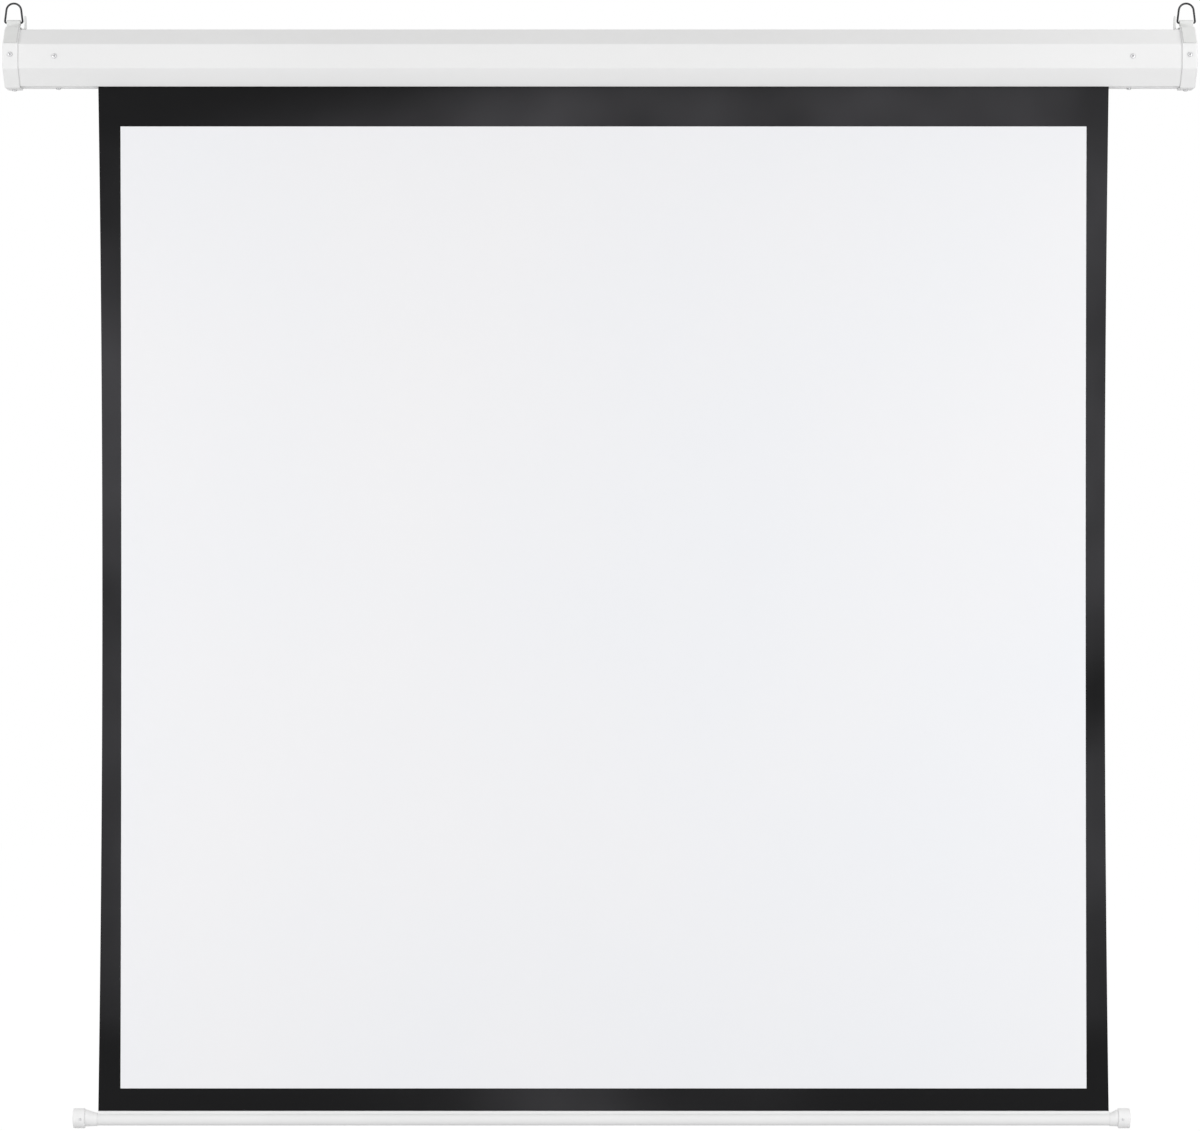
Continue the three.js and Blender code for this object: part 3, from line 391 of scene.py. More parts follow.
def outward(obj):
    """Doubles merged, loose points dropped, and every face turned outward."""
    shell = bmesh.new()
    shell.from_mesh(obj.data)
    bmesh.ops.remove_doubles(shell, verts=shell.verts, dist=0.0001 * MM)
    loose = [point for point in shell.verts if not point.link_faces]
    bmesh.ops.delete(shell, geom=loose, context="VERTS")
    bmesh.ops.recalc_face_normals(shell, faces=shell.faces)
    shell.to_mesh(obj.data)
    shell.free()
    return obj


def swept(name, outline, start, stop, material):
    """A closed (y, z) outline swept along X from start to stop."""
    edges = [(k, (k + 1) % len(outline)) for k in range(len(outline))]
    section = new_object(name, [(0, y, z) for y, z in outline], edges=edges)
    grown(section, "Sweep along the casing", From=start, To=stop, Material=material)
    return outward(section)


def lofted(name, rings, material, closed=False):
    """A skin over rings of equal count. Its ends are filled, or a closed one joins them."""
    count, last = len(rings[0]), len(rings) - 1
    faces = []
    for a in range(last + closed):
        b = (a + 1) % len(rings)
        for k in range(count):
            n = (k + 1) % count
            faces.append((a * count + k, a * count + n, b * count + n, b * count + k))
    if not closed:
        faces.append(tuple(range(count))[::-1])
        faces.append(tuple(range(last * count, (last + 1) * count)))
    points = [point for ring in rings for point in ring]
    return outward(new_object(name, points, faces, material=material))


def ring_at(axis, along, outline):
    """A flat outline at a place on an axis: (y, z) points on X, (x, z) on Y, (x, y) on Z."""
    at = "XYZ".index(axis)
    return [(*point[:at], along, *point[at:]) for point in outline]


def arc(centre, radius, start, stop, steps):
    """Points along an arc in the plane, ends included, angles in degrees."""
    turns = [math.radians(start + (stop - start) * k / steps) for k in range(steps + 1)]
    return [(centre[0] + radius * math.cos(a), centre[1] + radius * math.sin(a)) for a in turns]


def circle(radius, sides, centre=(0, 0)):
    return arc(centre, radius, 0, 360, sides)[:-1]


def turned(name, profile, axis, centre, sides, material, closed=False):
    """A profile of (along, radius) points turned round an axis through a centre."""
    rings = [ring_at(axis, along, circle(radius, sides, centre)) for along, radius in profile]
    return lofted(name, rings, material, closed)


def ribbon(path, thickness):
    """The closed outline of a strip of even thickness along a path in the plane."""
    sides = ([], [])
    for k, (x, y) in enumerate(path):
        before, after = Vector(path[max(k - 1, 0)]), Vector(path[min(k + 1, len(path) - 1)])
        along = (after - before).normalized()
        for points, off in zip(sides, (-thickness / 2, thickness / 2)):
            points.append((x - off * along.y, y + off * along.x))
    return sides[0] + sides[1][::-1]


def octagon_folds(half, corner):
    """The eight rounded folds of an octagon round the casing's middle, in (y, z), from the
    back's upper one up and over. A point beside each fold keeps the shading of the flats flat."""
    reach, ease = (half - corner) / math.cos(math.pi / 8), 0.5 * MM
    folds = []
    for side in range(8):
        first, towards, last = (math.radians(45 * (side + part)) for part in (0, 0.5, 1))
        middle = (reach * math.cos(towards), CASING_Z + reach * math.sin(towards))
        fold = arc(middle, corner, 45 * side, 45 * (side + 1), 8)
        (y, z), (end_y, end_z) = fold[0], fold[-1]
        before = (y + ease * math.sin(first), z - ease * math.cos(first))
        after = (end_y - ease * math.sin(last), end_z + ease * math.cos(last))
        folds.append([before, *fold, after])
    return folds


def smoothed(obj, angle):
    """Smooth shading, with every fold that is sharper than an angle in degrees kept."""
    obj.data.shade_smooth()
    obj.data.set_sharp_from_angle(angle=math.radians(angle))


def finished(obj, edge=0.0, angle=32):
    """Edges sharper than an angle rounded, if asked, then weighted smooth shading."""
    if edge:
        bevel = obj.modifiers.new("Edges", "BEVEL")
        bevel.width, bevel.segments, bevel.limit_method = edge, 2, "ANGLE"
        bevel.angle_limit = math.radians(angle)
    obj.modifiers.new("Flat faces", "WEIGHTED_NORMAL").keep_sharp = True
    smoothed(obj, angle + 8)
    return settled(obj)


def joined(name, shells):
    """Several meshes made one, under one name."""
    bpy.ops.object.select_all(action="DESELECT")
    for obj in shells:
        obj.select_set(True)
    bpy.context.view_layer.objects.active = shells[0]
    bpy.ops.object.join()
    shells[0].name = shells[0].data.name = name
    return shells[0]


def bored(obj, cutter):
    """The object with another one's shape cut out of it."""
    hole = obj.modifiers.new("Bore", "BOOLEAN")
    hole.operation, hole.object, hole.solver = "DIFFERENCE", cutter, "EXACT"
    settled(obj)
    bpy.data.objects.remove(cutter)
    return obj


def placed(obj, body, slot, *nodes):
    """The piece rides on its CAD body and stands for its CAD nodes, which are hidden. slot is not
    used.
    """
    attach(obj, body)
    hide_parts(*nodes)


# ---------------------------------------------------------------- finishes


def effect(name, takes, **gives):
    """A shader node group that reads a place on the surface, and the outputs of its input node."""
    takes = [("Vector", "Vector"), *takes]
    return new_tree(name, "ShaderNodeTree", takes, gives.items())


def effect_groups():
    """The surface effects that more than one finish uses, each built once."""
    black, white, grey = (0, 0, 0, 1), (1, 1, 1, 1), (0.6, 0.58, 0.55, 1)

    takes = [("Scale", "Float", 5.0), ("Dark", "Color", black), ("Light", "Color", white)]
    tree, given = effect("Soft patches", takes, Color="Color", Value="Float")
    cloud = {"Vector": given["Vector"], "Scale": given["Scale"], "Detail": 3.0}
    spread = ranged(tree, node(tree, "ShaderNodeTexNoise", cloud), 0.3, 0.7)
    mixed = blended(tree, spread, given["Dark"], given["Light"])
    node(tree, "NodeGroupOutput", {"Color": mixed, "Value": spread})

    takes = [("Size", "Float", 0.001), ("Stretch", "Vector", (1.0, 1.0, 1.0))]
    tree, given = effect("Fine grain", takes, Height="Float")
    many = maths(tree, "DIVIDE", 1.0, given["Size"])
    both = {0: given["Vector"], 1: given["Stretch"]}
    drawn = node(tree, "ShaderNodeVectorMath", both, operation="MULTIPLY")
    grain = node(tree, "ShaderNodeTexNoise", {"Vector": drawn, "Scale": many, "Detail": 2.0})
    node(tree, "NodeGroupOutput", {"Height": grain})

    tree, given = effect("Plain weave", [("Thread", "Float", 0.001)], Height="Float")
    place = node(tree, "ShaderNodeSeparateXYZ", {0: given["Vector"]})
    waves = []
    for axis in "XZ":
        turns = maths(tree, "DIVIDE", place.outputs[axis], given["Thread"])
        waves.append(maths(tree, "SINE", maths(tree, "MULTIPLY", turns, math.pi)))
    raised = ranged(tree, maths(tree, "MULTIPLY", *waves), -1.0, 1.0)
    node(tree, "NodeGroupOutput", {"Height": raised})

    takes = [("Color", "Color", white), ("Dust", "Color", grey), ("Amount", "Float", 0.3)]
    tree, given = effect("Settled dust", takes, Color="Color")
    facing = node(tree, "ShaderNodeNewGeometry").outputs["Normal"]
    up = node(tree, "ShaderNodeSeparateXYZ", {0: facing}).outputs["Z"]
    speck = {"Vector": given["Vector"], "Scale": 60.0, "Detail": 5.0}
    speck = node(tree, "ShaderNodeTexNoise", speck)
    lying = maths(tree, "MULTIPLY", ranged(tree, up, 0.5, 1.0), speck)
    amount = maths(tree, "MULTIPLY", lying, given["Amount"])
    node(tree, "NodeGroupOutput", {"Color": blended(tree, amount, given["Color"], given["Dust"])})


def use(tree, group, **inputs):
    """The outputs of an effect group that is placed in a material."""
    return node(tree, "ShaderNodeGroup", inputs, node_tree=bpy.data.node_groups[group]).outputs


def tint(rgb, level=1.0):
    return (*[min(1.0, part * level) for part in rgb], 1.0)


def finish(
    name, rgb, roughness, metallic, patch, vary, bump, relief,
    grain=1.0, weave=0.0, dust=0.0, stretch=(1, 1, 1), specular=0.5, rough_vary=0.05, light=None,
):
    """A colour in soft patches, with a grain or weave that lifts the surface, and dust on top.
    patch is the patches' size in metres; grain, weave and relief are in millimetres."""
    material = bpy.data.materials.new(name)
    material.use_nodes = True
    tree = material.node_tree
    place = node(tree, "ShaderNodeTexCoord").outputs["Object"]
    dark, light = tint(rgb, 1 - vary), tint(light or rgb, 1 + vary)
    patches = use(tree, "Soft patches", Vector=place, Scale=1 / patch, Dark=dark, Light=light)
    shown = patches["Color"]
    if dust:
        shown = use(tree, "Settled dust", Vector=place, Color=shown, Amount=dust)["Color"]
    if weave:
        height = use(tree, "Plain weave", Vector=place, Thread=weave * MM)["Height"]
    else:
        height = use(tree, "Fine grain", Vector=place, Size=grain * MM, Stretch=stretch)["Height"]
    lifted = {"Strength": bump, "Distance": relief * MM, "Height": height}
    ends = {"first": roughness - rough_vary, "last": min(1.0, roughness + rough_vary)}
    inputs = {
        "Base Color": shown,
        "Normal": node(tree, "ShaderNodeBump", lifted),
        "Roughness": ranged(tree, patches["Value"], **ends),
        "Metallic": metallic,
        "Specular IOR Level": specular,
    }
    fill(tree.nodes["Principled BSDF"], inputs)
    return material


def recoloured(material, factor, rgb):
    """Another colour laid over a finish's own, by a factor."""
    bsdf = material.node_tree.nodes["Principled BSDF"]
    own = bsdf.inputs["Base Color"].links[0].from_socket
    fill(bsdf, {"Base Color": blended(material.node_tree, factor, own, tint(rgb))})


def place_border_painted_sheen(material, rgb):
    """Keeps the black print's painted sheen off its corners, but for the upper right one, and
    weakens it above and below the picture; the sheen is a painted highlight in the colour."""
    tree = material.node_tree
    place = node(tree, "ShaderNodeTexCoord").outputs["Object"]
    place = node(tree, "ShaderNodeSeparateXYZ", {0: place})
    x, middle = place.outputs["X"], box_middle("black_border").z
    z = maths(tree, "SUBTRACT", place.outputs["Z"], middle)
    height = maths(tree, "ABSOLUTE", z)
    corner = maths(tree, "MULTIPLY", maths(tree, "ABSOLUTE", x), height)
    right_up = [maths(tree, "MAXIMUM", way, 0.0) for way in (x, z)]
    bright_end = maths(tree, "MULTIPLY", maths(tree, "MULTIPLY", *right_up), 1.4)
    rim = ranged(tree, height, 0.68, 0.8, last=0.36)
    sheen_withheld = maths(tree, "ADD", maths(tree, "SUBTRACT", corner, bright_end), rim)
    fade = ranged(tree, sheen_withheld, 0.15, 0.75, interpolation_type="SMOOTHSTEP")
    recoloured(material, fade, rgb)


def paint_screw_shade(material, rgb):
    """Lays painted shade on the screws, in the recess and at the rim, as their point attribute
    says.
    """
    grime = node(material.node_tree, "ShaderNodeAttribute", attribute_name="grime")
    recoloured(material, grime.outputs["Fac"], rgb)


def make_finishes(own):
    """Every finish, by its material slot in the CAD record, or by the piece that it is for."""
    cloth = {"weave": 0.6, "light": own.picture_warm, "specular": 0.12}
    # The black print's lighter patches are a painted sheen.
    printed = {"weave": 0.6, "light": own.border_painted_sheen, "specular": 0.06, "rough_vary": 0.1}
    black_weave = {"weave": 0.8, "specular": 0.2}
    drawn = {"grain": 0.4, "stretch": (0.02, 1, 1)}
    rubber, black, green = (0.012,) * 3, (0.02, 0.02, 0.021), (0.02, 0.13, 0.05)
    zinc, aluminium, brass = (0.52, 0.53, 0.55), (0.6, 0.61, 0.62), (0.55, 0.38, 0.14)
    red, woven = (0.45, 0.03, 0.025), (0.012, 0.012, 0.013)
    # Key, name, colour, roughness, metallic, patches' size and contrast, bump, relief, and more.
    rows = (
        ("white_paint", "White powder coat", own.paint, 0.36, 0, 0.25, 0.012, 0.12, 0.05,
         {"grain": 1.1, "dust": 0.25}),
        ("bar", "White lacquer on the bar", own.bar_paint, 0.33, 0, 0.2, 0.015, 0.08, 0.04,
         {"stretch": (0.15, 1, 1)}),
        ("white_plastic", "White moulded plastic", own.plastic, 0.42, 0, 0.05, 0.015, 0.15, 0.03,
         {"grain": 0.5, "dust": 0.2}),
        ("strap", "White lacquered steel", own.strap, 0.34, 0, 0.02, 0.02, 0.15, 0.04,
         {"grain": 0.7, "dust": 0.25}),
        ("dark_steel", "Dark drawn wire", own.bail, 0.3, 0.75, 0.006, 0.2, 0.25, 0.03,
         {"grain": 0.35}),
        ("screw", "Nickel screws", own.screw, 0.42, 0.7, 0.004, 0.06, 0.15, 0.02, {"grain": 0.3}),
        ("white_cloth", "Matte white cloth", own.picture, 0.95, 0, 0.8, 0, 0.35, 0.05, cloth),
        ("border", "Black printed border", own.border, 0.5, 0, 0.42, 0, 0.35, 0.05, printed),
        ("backing", "Black backing", own.backing, 0.75, 0, 0.3, 0.15, 0.4, 0.05, black_weave),
        ("black_cloth", "Black woven cloth", woven, 0.75, 0, 0.1, 0.2, 0.4, 0.05, black_weave),
        ("rubber", "Black rubber", rubber, 0.7, 0, 0.01, 0.2, 0.3, 0.04, {"grain": 0.4}),
        ("zinc_steel", "Zinc plated steel", zinc, 0.36, 0.9, 0.012, 0.12, 0.1, 0.02,
         {"grain": 0.8}),
        ("aluminium", "Extruded aluminium", aluminium, 0.34, 0.95, 0.03, 0.05, 0.25, 0.02, drawn),
        ("black_plastic", "Black moulded plastic", black, 0.45, 0, 0.02, 0.15, 0.2, 0.04,
         {"grain": 0.5}),
        ("circuit_board", "Green circuit board", green, 0.4, 0, 0.004, 0.25, 0.2, 0.03,
         {"grain": 1.5, "specular": 0.6}),
        ("brass", "Brass", brass, 0.3, 0.95, 0.01, 0.1, 0.15, 0.02, {"grain": 0.3}),
        ("red_plastic", "Red plastic", red, 0.4, 0, 0.01, 0.08, 0.1, 0.02, {"grain": 0.4}),
    )
    made = {key: finish(*row, **more) for key, *row, more in rows}
    # Painted sheen on the black print, placed by position on the border.
    place_border_painted_sheen(made["border"], own.border)
    # Painted shade in the screws' recesses and at their rims.
    paint_screw_shade(made["screw"], own.grime)
    return made


finishes = {}


# ---------------------------------------------------------------- operators


class SCREEN_OT_finishes(bpy.types.Operator):
    """Make the node trees and finishes, and give every CAD node its own"""

    bl_idname = "screen.finishes"
    bl_label = "Finishes"

    def execute(self, context):
        for build in (sweep_tree, wire_tree, fastener_tree, effect_groups):
            build()
        finishes.update(make_finishes(context.scene.screen_finishes))
        for part in frame["record"]["subparts"]:
            materials = frame["nodes"][part["node"]].data.materials
            materials.clear()
            materials.append(finishes[part["material_slot"]])
        return {"FINISHED"}


class SCREEN_OT_casing(bpy.types.Operator):
    """Fold the octagonal casing with its slot, and set the grommet in its back"""

    bl_idname = "screen.casing"
    bl_label = "Casing"

    def execute(self, context):
        sizes, paint = context.scene.casing_sizes, finishes["white_paint"]
        low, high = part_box("casing")
        casing = swept("casing_shell", self.section(sizes), low.x, high.x, paint)
        lead, hole = box_middle("mains_grommet"), sizes.grommet_hole
        back, depth = sizes.flats / 2, 20 * MM
        ends = [(back - depth, hole), (back + depth, hole)]
        cutter = turned("bore", ends, "Y", (lead.x, lead.z), 32, paint)
        placed(finished(bored(casing, cutter)), "housing", "white_paint", "casing")

        ring = turned(
            "mains_lead_grommet", self.grommet(sizes), "Y", (lead.x, lead.z), 40,
            finishes["rubber"], closed=True,
        )
        placed(finished(ring), "housing", "rubber", "mains_grommet")
        return {"FINISHED"}

    def section(self, sizes):
        """One sheet: round the octagon from the slot's back lip to its front lip, and back
        along the inside."""
        half, wall, ease, crease = sizes.flats / 2, sizes.wall, 0.3 * MM, 0.4 * MM
        inside = half - wall
        front, back = CLOTH_Y - sizes.slot_ahead, CLOTH_Y + sizes.slot_behind
        bottom, lip_top = CASING_Z - half, CASING_Z - inside + sizes.lip
        outer = octagon_folds(half, sizes.corner)
        inner = octagon_folds(inside, sizes.corner - wall)
        round_outside = (6, 7, 0, 1, 2, 3, 4)
        outline = [(back + ease, bottom)]
        for side in round_outside:
            outline += outer[side]
        outline += [point for point in outer[5][:-1] if point[0] < front - 0.2 * MM]
        slant = CASING_Z - (inside * math.sqrt(2) + front - wall)
        outline += [(front, bottom + ease), (front, lip_top)]
        outline += [(front - wall, lip_top), (front - wall, slant)]
        for side in round_outside[::-1]:
            outline += inner[side][::-1]
        far = back + wall
        outline += [(far + crease, CASING_Z - inside), (far, CASING_Z - inside + crease)]
        return outline + [(far, lip_top), (back, lip_top), (back, bottom + ease)]

    def grommet(self, sizes):
        """The grommet's section: a neck in the casing's hole between two lips."""
        low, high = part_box("mains_grommet")
        start, stop, rim = low.y, high.y, (high.x - low.x) / 2
        bore, neck = sizes.grommet_bore, sizes.grommet_hole - 0.3 * MM
        ease, lip = 0.5 * MM, 1.8 * MM
        outside = [(start, bore + ease), (start, rim - ease), (start + ease, rim)]
        outside += [(start + lip, rim), (start + lip, neck), (stop - lip, neck), (stop - lip, rim)]
        outside += [(stop - ease, rim), (stop, rim - 2 * ease), (stop, bore + 2 * ease)]
        return outside + [(stop - ease, bore), (start + ease, bore)]


class SCREEN_OT_end_caps(bpy.types.Operator):
    """Mould the two octagonal end caps"""

    bl_idname = "screen.end_caps"
    bl_label = "End caps"

    def execute(self, context):
        sizes, half = context.scene.casing_sizes, over_caps(context.scene)
        inside, edge, corner = half - sizes.cap_wall, sizes.cap_round, sizes.cap_corner
        inner_corner, panel_corner, least = corner - sizes.cap_wall, 1.6 * MM, 0.8 * MM
        ease = 0.5 * MM
        for end, side in ENDS:
            rim, outer = (box_end(f"{end}_end_cap", way) for way in (-side, side))
            deep = abs(outer - rim)
            # Depth, half width and radius of the folds: inside, round the rim, along, the face.
            steps = [(deep - sizes.cap_face, inside, inner_corner), (ease, inside, inner_corner)]
            steps.append((0.0, inside + ease, inner_corner + ease))
            for along, inset in ((0, 0.6), (0.2, 0.2), (0.6, 0), (1.2, 0)):
                steps.append((along * MM, half - inset * MM, corner - inset * MM))
            steps.append((deep - edge - 0.6 * MM, half, corner))
            for along, inset in arc((deep - edge, -edge), edge, 90, 0, 6):
                steps.append((along, half + inset, max(corner + inset, least)))
            steps.append((deep, half - edge - 1.0 * MM, corner - edge))
            for sunk, inset in ((0, 6), (0.3, 6.6), (0.8, 6.9), (0.8, 8)):
                steps.append((deep - sunk * MM, half - inset * MM, panel_corner))
            rings = [
                ring_at("X", rim + side * along, sum(octagon_folds(width, fold), []))
                for along, width, fold in steps
            ]
            cap = lofted(f"{end}_cap_shell", rings, finishes["white_plastic"])
            placed(finished(cap), "housing", "white_plastic", f"{end}_end_cap")
        return {"FINISHED"}


class SCREEN_OT_straps(bpy.types.Operator):
    """Bend the hanging straps, roll their barrels and raise their ears"""

    bl_idname = "screen.straps"
    bl_label = "Hanging straps"

    def execute(self, context):
        sizes, paint = context.scene.hanger_sizes, finishes["strap"]
        under = over_caps(context.scene) + sizes.strap_gap
        over, half = under + sizes.strap, sizes.strap_width / 2
        on_casing = CASING_Z + context.scene.casing_sizes.flats / 2 + 0.2 * MM
        for end, side in ENDS:
            x, hub = box_middle(f"{end}_bail").x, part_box(f"{end}_bail")[0].z + sizes.wire / 2
            rim = abs(x - box_end(f"{end}_end_cap", -side))
            shells = [
                swept("belt", self.belt(sizes, over, under), x - half, x + half, paint),
                swept("web", self.web(CASING_Z + over, hub), x - half, x + half, paint),
                turned("barrel", self.barrel(sizes, x), "X", (0.0, hub), 36, paint, closed=True),
                self.ear(sizes, x, side, hub, on_casing),
                self.shelf(sizes, x, side, rim, CASING_Z + over, on_casing),
            ]
            strap = finished(joined(f"{end}_strap_and_ear", shells), edge=0.3 * MM)
            placed(strap, "housing", "white_paint", f"{end}_hanging_strap")
        return {"FINISHED"}

    def belt(self, sizes, over, under):
        """The strap round the cap, from the rear slant over the top to the front slant."""
        outer = octagon_folds(over, sizes.strap_corner)
        inner = octagon_folds(under, sizes.strap_corner - sizes.strap)
        foot = CASING_Z + sizes.strap_foot
        far, near = (reach * math.sqrt(2) - sizes.strap_foot for reach in (over, under))
        outline = [(far, foot), *outer[1], *outer[2], (-far, foot)]
        return outline + [(-near, foot), *inner[2][::-1], *inner[1][::-1], (near, foot)]

    def web(self, base, hub):
        """The neck that carries the barrel, running out in a round on the strap."""
        reach, fillet, sink, neck = 8 * MM, 4.6 * MM, 0.2 * MM, 3.3 * MM
        front = [(-reach, base - sink)]
        front += arc((-reach, base + sink + fillet), fillet, -90, 0, 6)
        front.append((-neck, hub - MM))
        return front + [(-y, z) for y, z in front[::-1]]

    def barrel(self, sizes, x):
        bore, rim, ease = sizes.wire / 2 + 0.3 * MM, sizes.barrel, 0.5 * MM
        start, stop = x - sizes.barrel_length / 2, x + sizes.barrel_length / 2
        outside = [(start, bore + ease), (start, rim - ease), (start + ease, rim)]
        outside += [(stop - ease, rim), (stop, rim - ease), (stop, bore + ease)]
        return outside + [(stop - ease, bore), (start + ease, bore)]

    def ear(self, sizes, x, side, hub, on_casing):
        """The upright ear: a plate with a round top and a hole, bent up out of its shelf."""
        near = x - side * (sizes.strap_width / 2 + sizes.ear_away)
        far, wide = near + side * sizes.strap, sizes.ear_width / 2
        drop, count, tiny = hub - (on_casing + sizes.strap + sizes.ear_bend), 48, 1e-6
        plate = []
        for y, z in circle(1.0, count):
            reach = wide if z >= 0 else min(wide / max(abs(y), tiny), drop / -z)
            plate.append((y * reach, hub + z * reach))
        hole = circle(sizes.ear_hole, count, (0.0, hub))
        rings = ((near, plate), (far, plate), (far, hole), (near, hole))
        rings = [ring_at("X", along, outline) for along, outline in rings]
        return lofted("ear", rings, finishes["strap"], closed=True)

    def shelf(self, sizes, x, side, rim, base, on_casing):
        """The sheet between strap and ear: over the cap's rim, down to the casing, and up."""
        half, mid = sizes.strap_width / 2, sizes.strap / 2
        upper, lower, ease = base - mid, on_casing + mid, 0.5 * MM
        path = [(half - 2 * MM, upper), (rim + 0.3 * MM, upper), (rim + 1.2 * MM, upper - ease)]
        path += [(rim + 2.6 * MM, lower + ease), (rim + 3.4 * MM, lower)]
        bend = sizes.ear_bend + mid
        centre = (half + sizes.ear_away - mid - bend, lower + bend)
        path += [*arc(centre, bend, -90, 0, 5), (centre[0] + bend, centre[1] + 0.3 * MM)]
        outline = [(x - side * away, z) for away, z in ribbon(path, sizes.strap)]
        wide = sizes.ear_width / 2
        rings = [ring_at("Y", y, outline) for y in (-wide, wide)]
        return lofted("shelf", rings, finishes["strap"])


class SCREEN_OT_bails(bpy.types.Operator):
    """Bend the two wire bails"""

    bl_idname = "screen.bails"
    bl_label = "Bails"

    def execute(self, context):
        sizes = context.scene.hanger_sizes
        radius, feet, crown = sizes.wire / 2, sizes.bail_feet, sizes.bail_crown
        for end, _ in ENDS:
            low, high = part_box(f"{end}_bail")
            x, foot, top = (low.x + high.x) / 2, low.z + radius, high.z - radius
            lean = math.atan((feet - crown) / (top - foot))
            # The most that fits between the legs, less a hair, so that no corner is cut short.
            round_crown = crown / math.tan((math.pi / 2 - lean) / 2) * 0.999
            inward = feet - sizes.bail_ends
            half = [(inward, foot, 0.0), (feet, foot, sizes.bail_bend), (crown, top, round_crown)]
            corners = [(-away, z, bend) for away, z, bend in half] + half[::-1]
            points = [(x + away, 0.0, z) for away, z, _ in corners]
            edges = [(k, k + 1) for k in range(len(points) - 1)]
            bail = new_object(f"{end}_wire_bail", points, edges=edges)
            bends = bail.data.attributes.new("bend", "FLOAT", "POINT").data
            bends.foreach_set("value", [bend for _, _, bend in corners])
            steel = finishes["dark_steel"]
            grown(bail, "Bent wire", Radius=radius, Sides=20, Steps=16, Material=steel)
            bail = finished(outward(bail), angle=50)
            placed(bail, f"{end}_bail", "dark_steel", f"{end}_bail")
        return {"FINISHED"}


class SCREEN_OT_screws(bpy.types.Operator):
    """Set a cross-recessed screw in each of its places"""

    bl_idname = "screen.screws"
    bl_label = "Screws"

    def execute(self, context):
        scene, sunk = context.scene, 0.35 * MM
        half, cap, hangers = scene.casing_sizes.flats / 2, over_caps(scene), scene.hanger_sizes
        strap = (cap + hangers.strap_gap + hangers.strap) * math.sqrt(0.5)
        places, small = {}, {}
        for end, _ in ENDS:
            for name, level, facing in (
                ("cap_front", cap, FRONT),
                ("cap_lower", cap, DOWN),
                ("casing_front", half, FRONT),
                ("casing_lower", half, DOWN),
                ("strap", strap, REAR_SLANT),
            ):
                x, y, z = box_middle(f"{end}_{name}_screw")
                at = {
                    FRONT: (x, -level, z),
                    DOWN: (x, y, CASING_Z - level),
                    REAR_SLANT: (x, level, CASING_Z + level),
                }
                places[f"{end}_{name}_screw"] = (at[facing], facing)
            x, _, z = box_middle(f"{end}_bar_cap_screw")
            face = box_middle(f"{end}_bar_cap").y - scene.bar_sizes.cap + sunk
            small[f"{end}_bar_cap_screw"] = ((x, face, z), FRONT)
        for name in ("control_box_outer_screw", "control_box_inner_screw"):
            x, y, _ = box_middle(name)
            places[name] = ((x, y, CASING_Z + half), UP)
        sizes = scene.screw_sizes
        self.set_screws(sizes, "housing_screws", places, 1.0, "housing")
        self.set_screws(sizes, "bar_cap_screws", small, sizes.small, "bottom_bar")
        return {"FINISHED"}

    def set_screws(self, sizes, name, places, size, body):
        source = self.screw(sizes)
        holder = new_object(name, [at for at, _ in places.values()])
        turns = holder.data.attributes.new("turn", "FLOAT_VECTOR", "POINT").data
        facings = [facing for _, facing in places.values()]
        turns.foreach_set("vector", [part for facing in facings for part in (facing, 0.0, 0.0)])
        look = {"Size": size, "Seed": 4, "Material": finishes["screw"]}
        grown(holder, "Screws at their places", Screw=source, **look)
        bpy.data.objects.remove(source)
        smoothed(holder, 35)
        placed(holder, body, "zinc_steel", *places)

    def screw(self, sizes):
        """A pan head with a cross recess and a short shank, standing on z = 0."""
        head, height, metal, chamfer = sizes.head, sizes.height, finishes["screw"], 0.15 * MM
        side, crown = height * 0.4, head * 0.38
        profile = [(-sizes.shank_length, sizes.shank), (0.0, sizes.shank)]
        profile += [(0.0, head - chamfer), (chamfer, head), (side, head)]
        for rise, out in arc((0.0, 0.0), 1.0, 90, 0, 5)[1:]:
            profile.append((side + (height - side) * rise, crown + (head - crown) * out))
        body = turned("screw", profile, "Z", (0, 0), 32, metal)
        arm, wide = sizes.cross / 2, sizes.cross_width / 2
        for x, y in ((arm, wide), (wide, arm)):
            rings = [
                ring_at("Z", z, [(a * x * taper, b * y * taper) for a, b in SQUARE])
                for z, taper in ((height - sizes.cross_depth, 0.7), (height + MM, 1.15))
            ]
            bored(body, lofted("arm", rings, metal))
        # Painted shade: the recess and the rim of each head are marked here to be darkened in the
        # colour.
        grime, dark, at_rim = [], 0.7, 0.5
        for x, y, z in (point.co for point in body.data.vertices):
            out = math.hypot(x, y) / head
            recess = z < height - sizes.cross_depth / 2 and out < 0.7
            grime.append(dark if recess else at_rim * max(0.0, (out - 0.8) / 0.2))
        body.data.attributes.new("grime", "FLOAT", "POINT").data.foreach_set("value", grime)
        return body


def between(start, stop, count):
    """Even steps from start to stop, without the start."""
    return [start + (stop - start) * k / count for k in range(1, count + 1)]


def part_way(z, start, stop):
    """How much of the way down from start to stop a height is, from 0 to 1."""
    return min(1.0, max(0.0, (start - z) / (start - stop)))


def bowed(z, start, stop, depth):
    """The depth of a bow between two heights: nothing at its ends and all of it halfway."""
    part = part_way(z, start, stop)
    return depth * 4 * part * (1 - part)


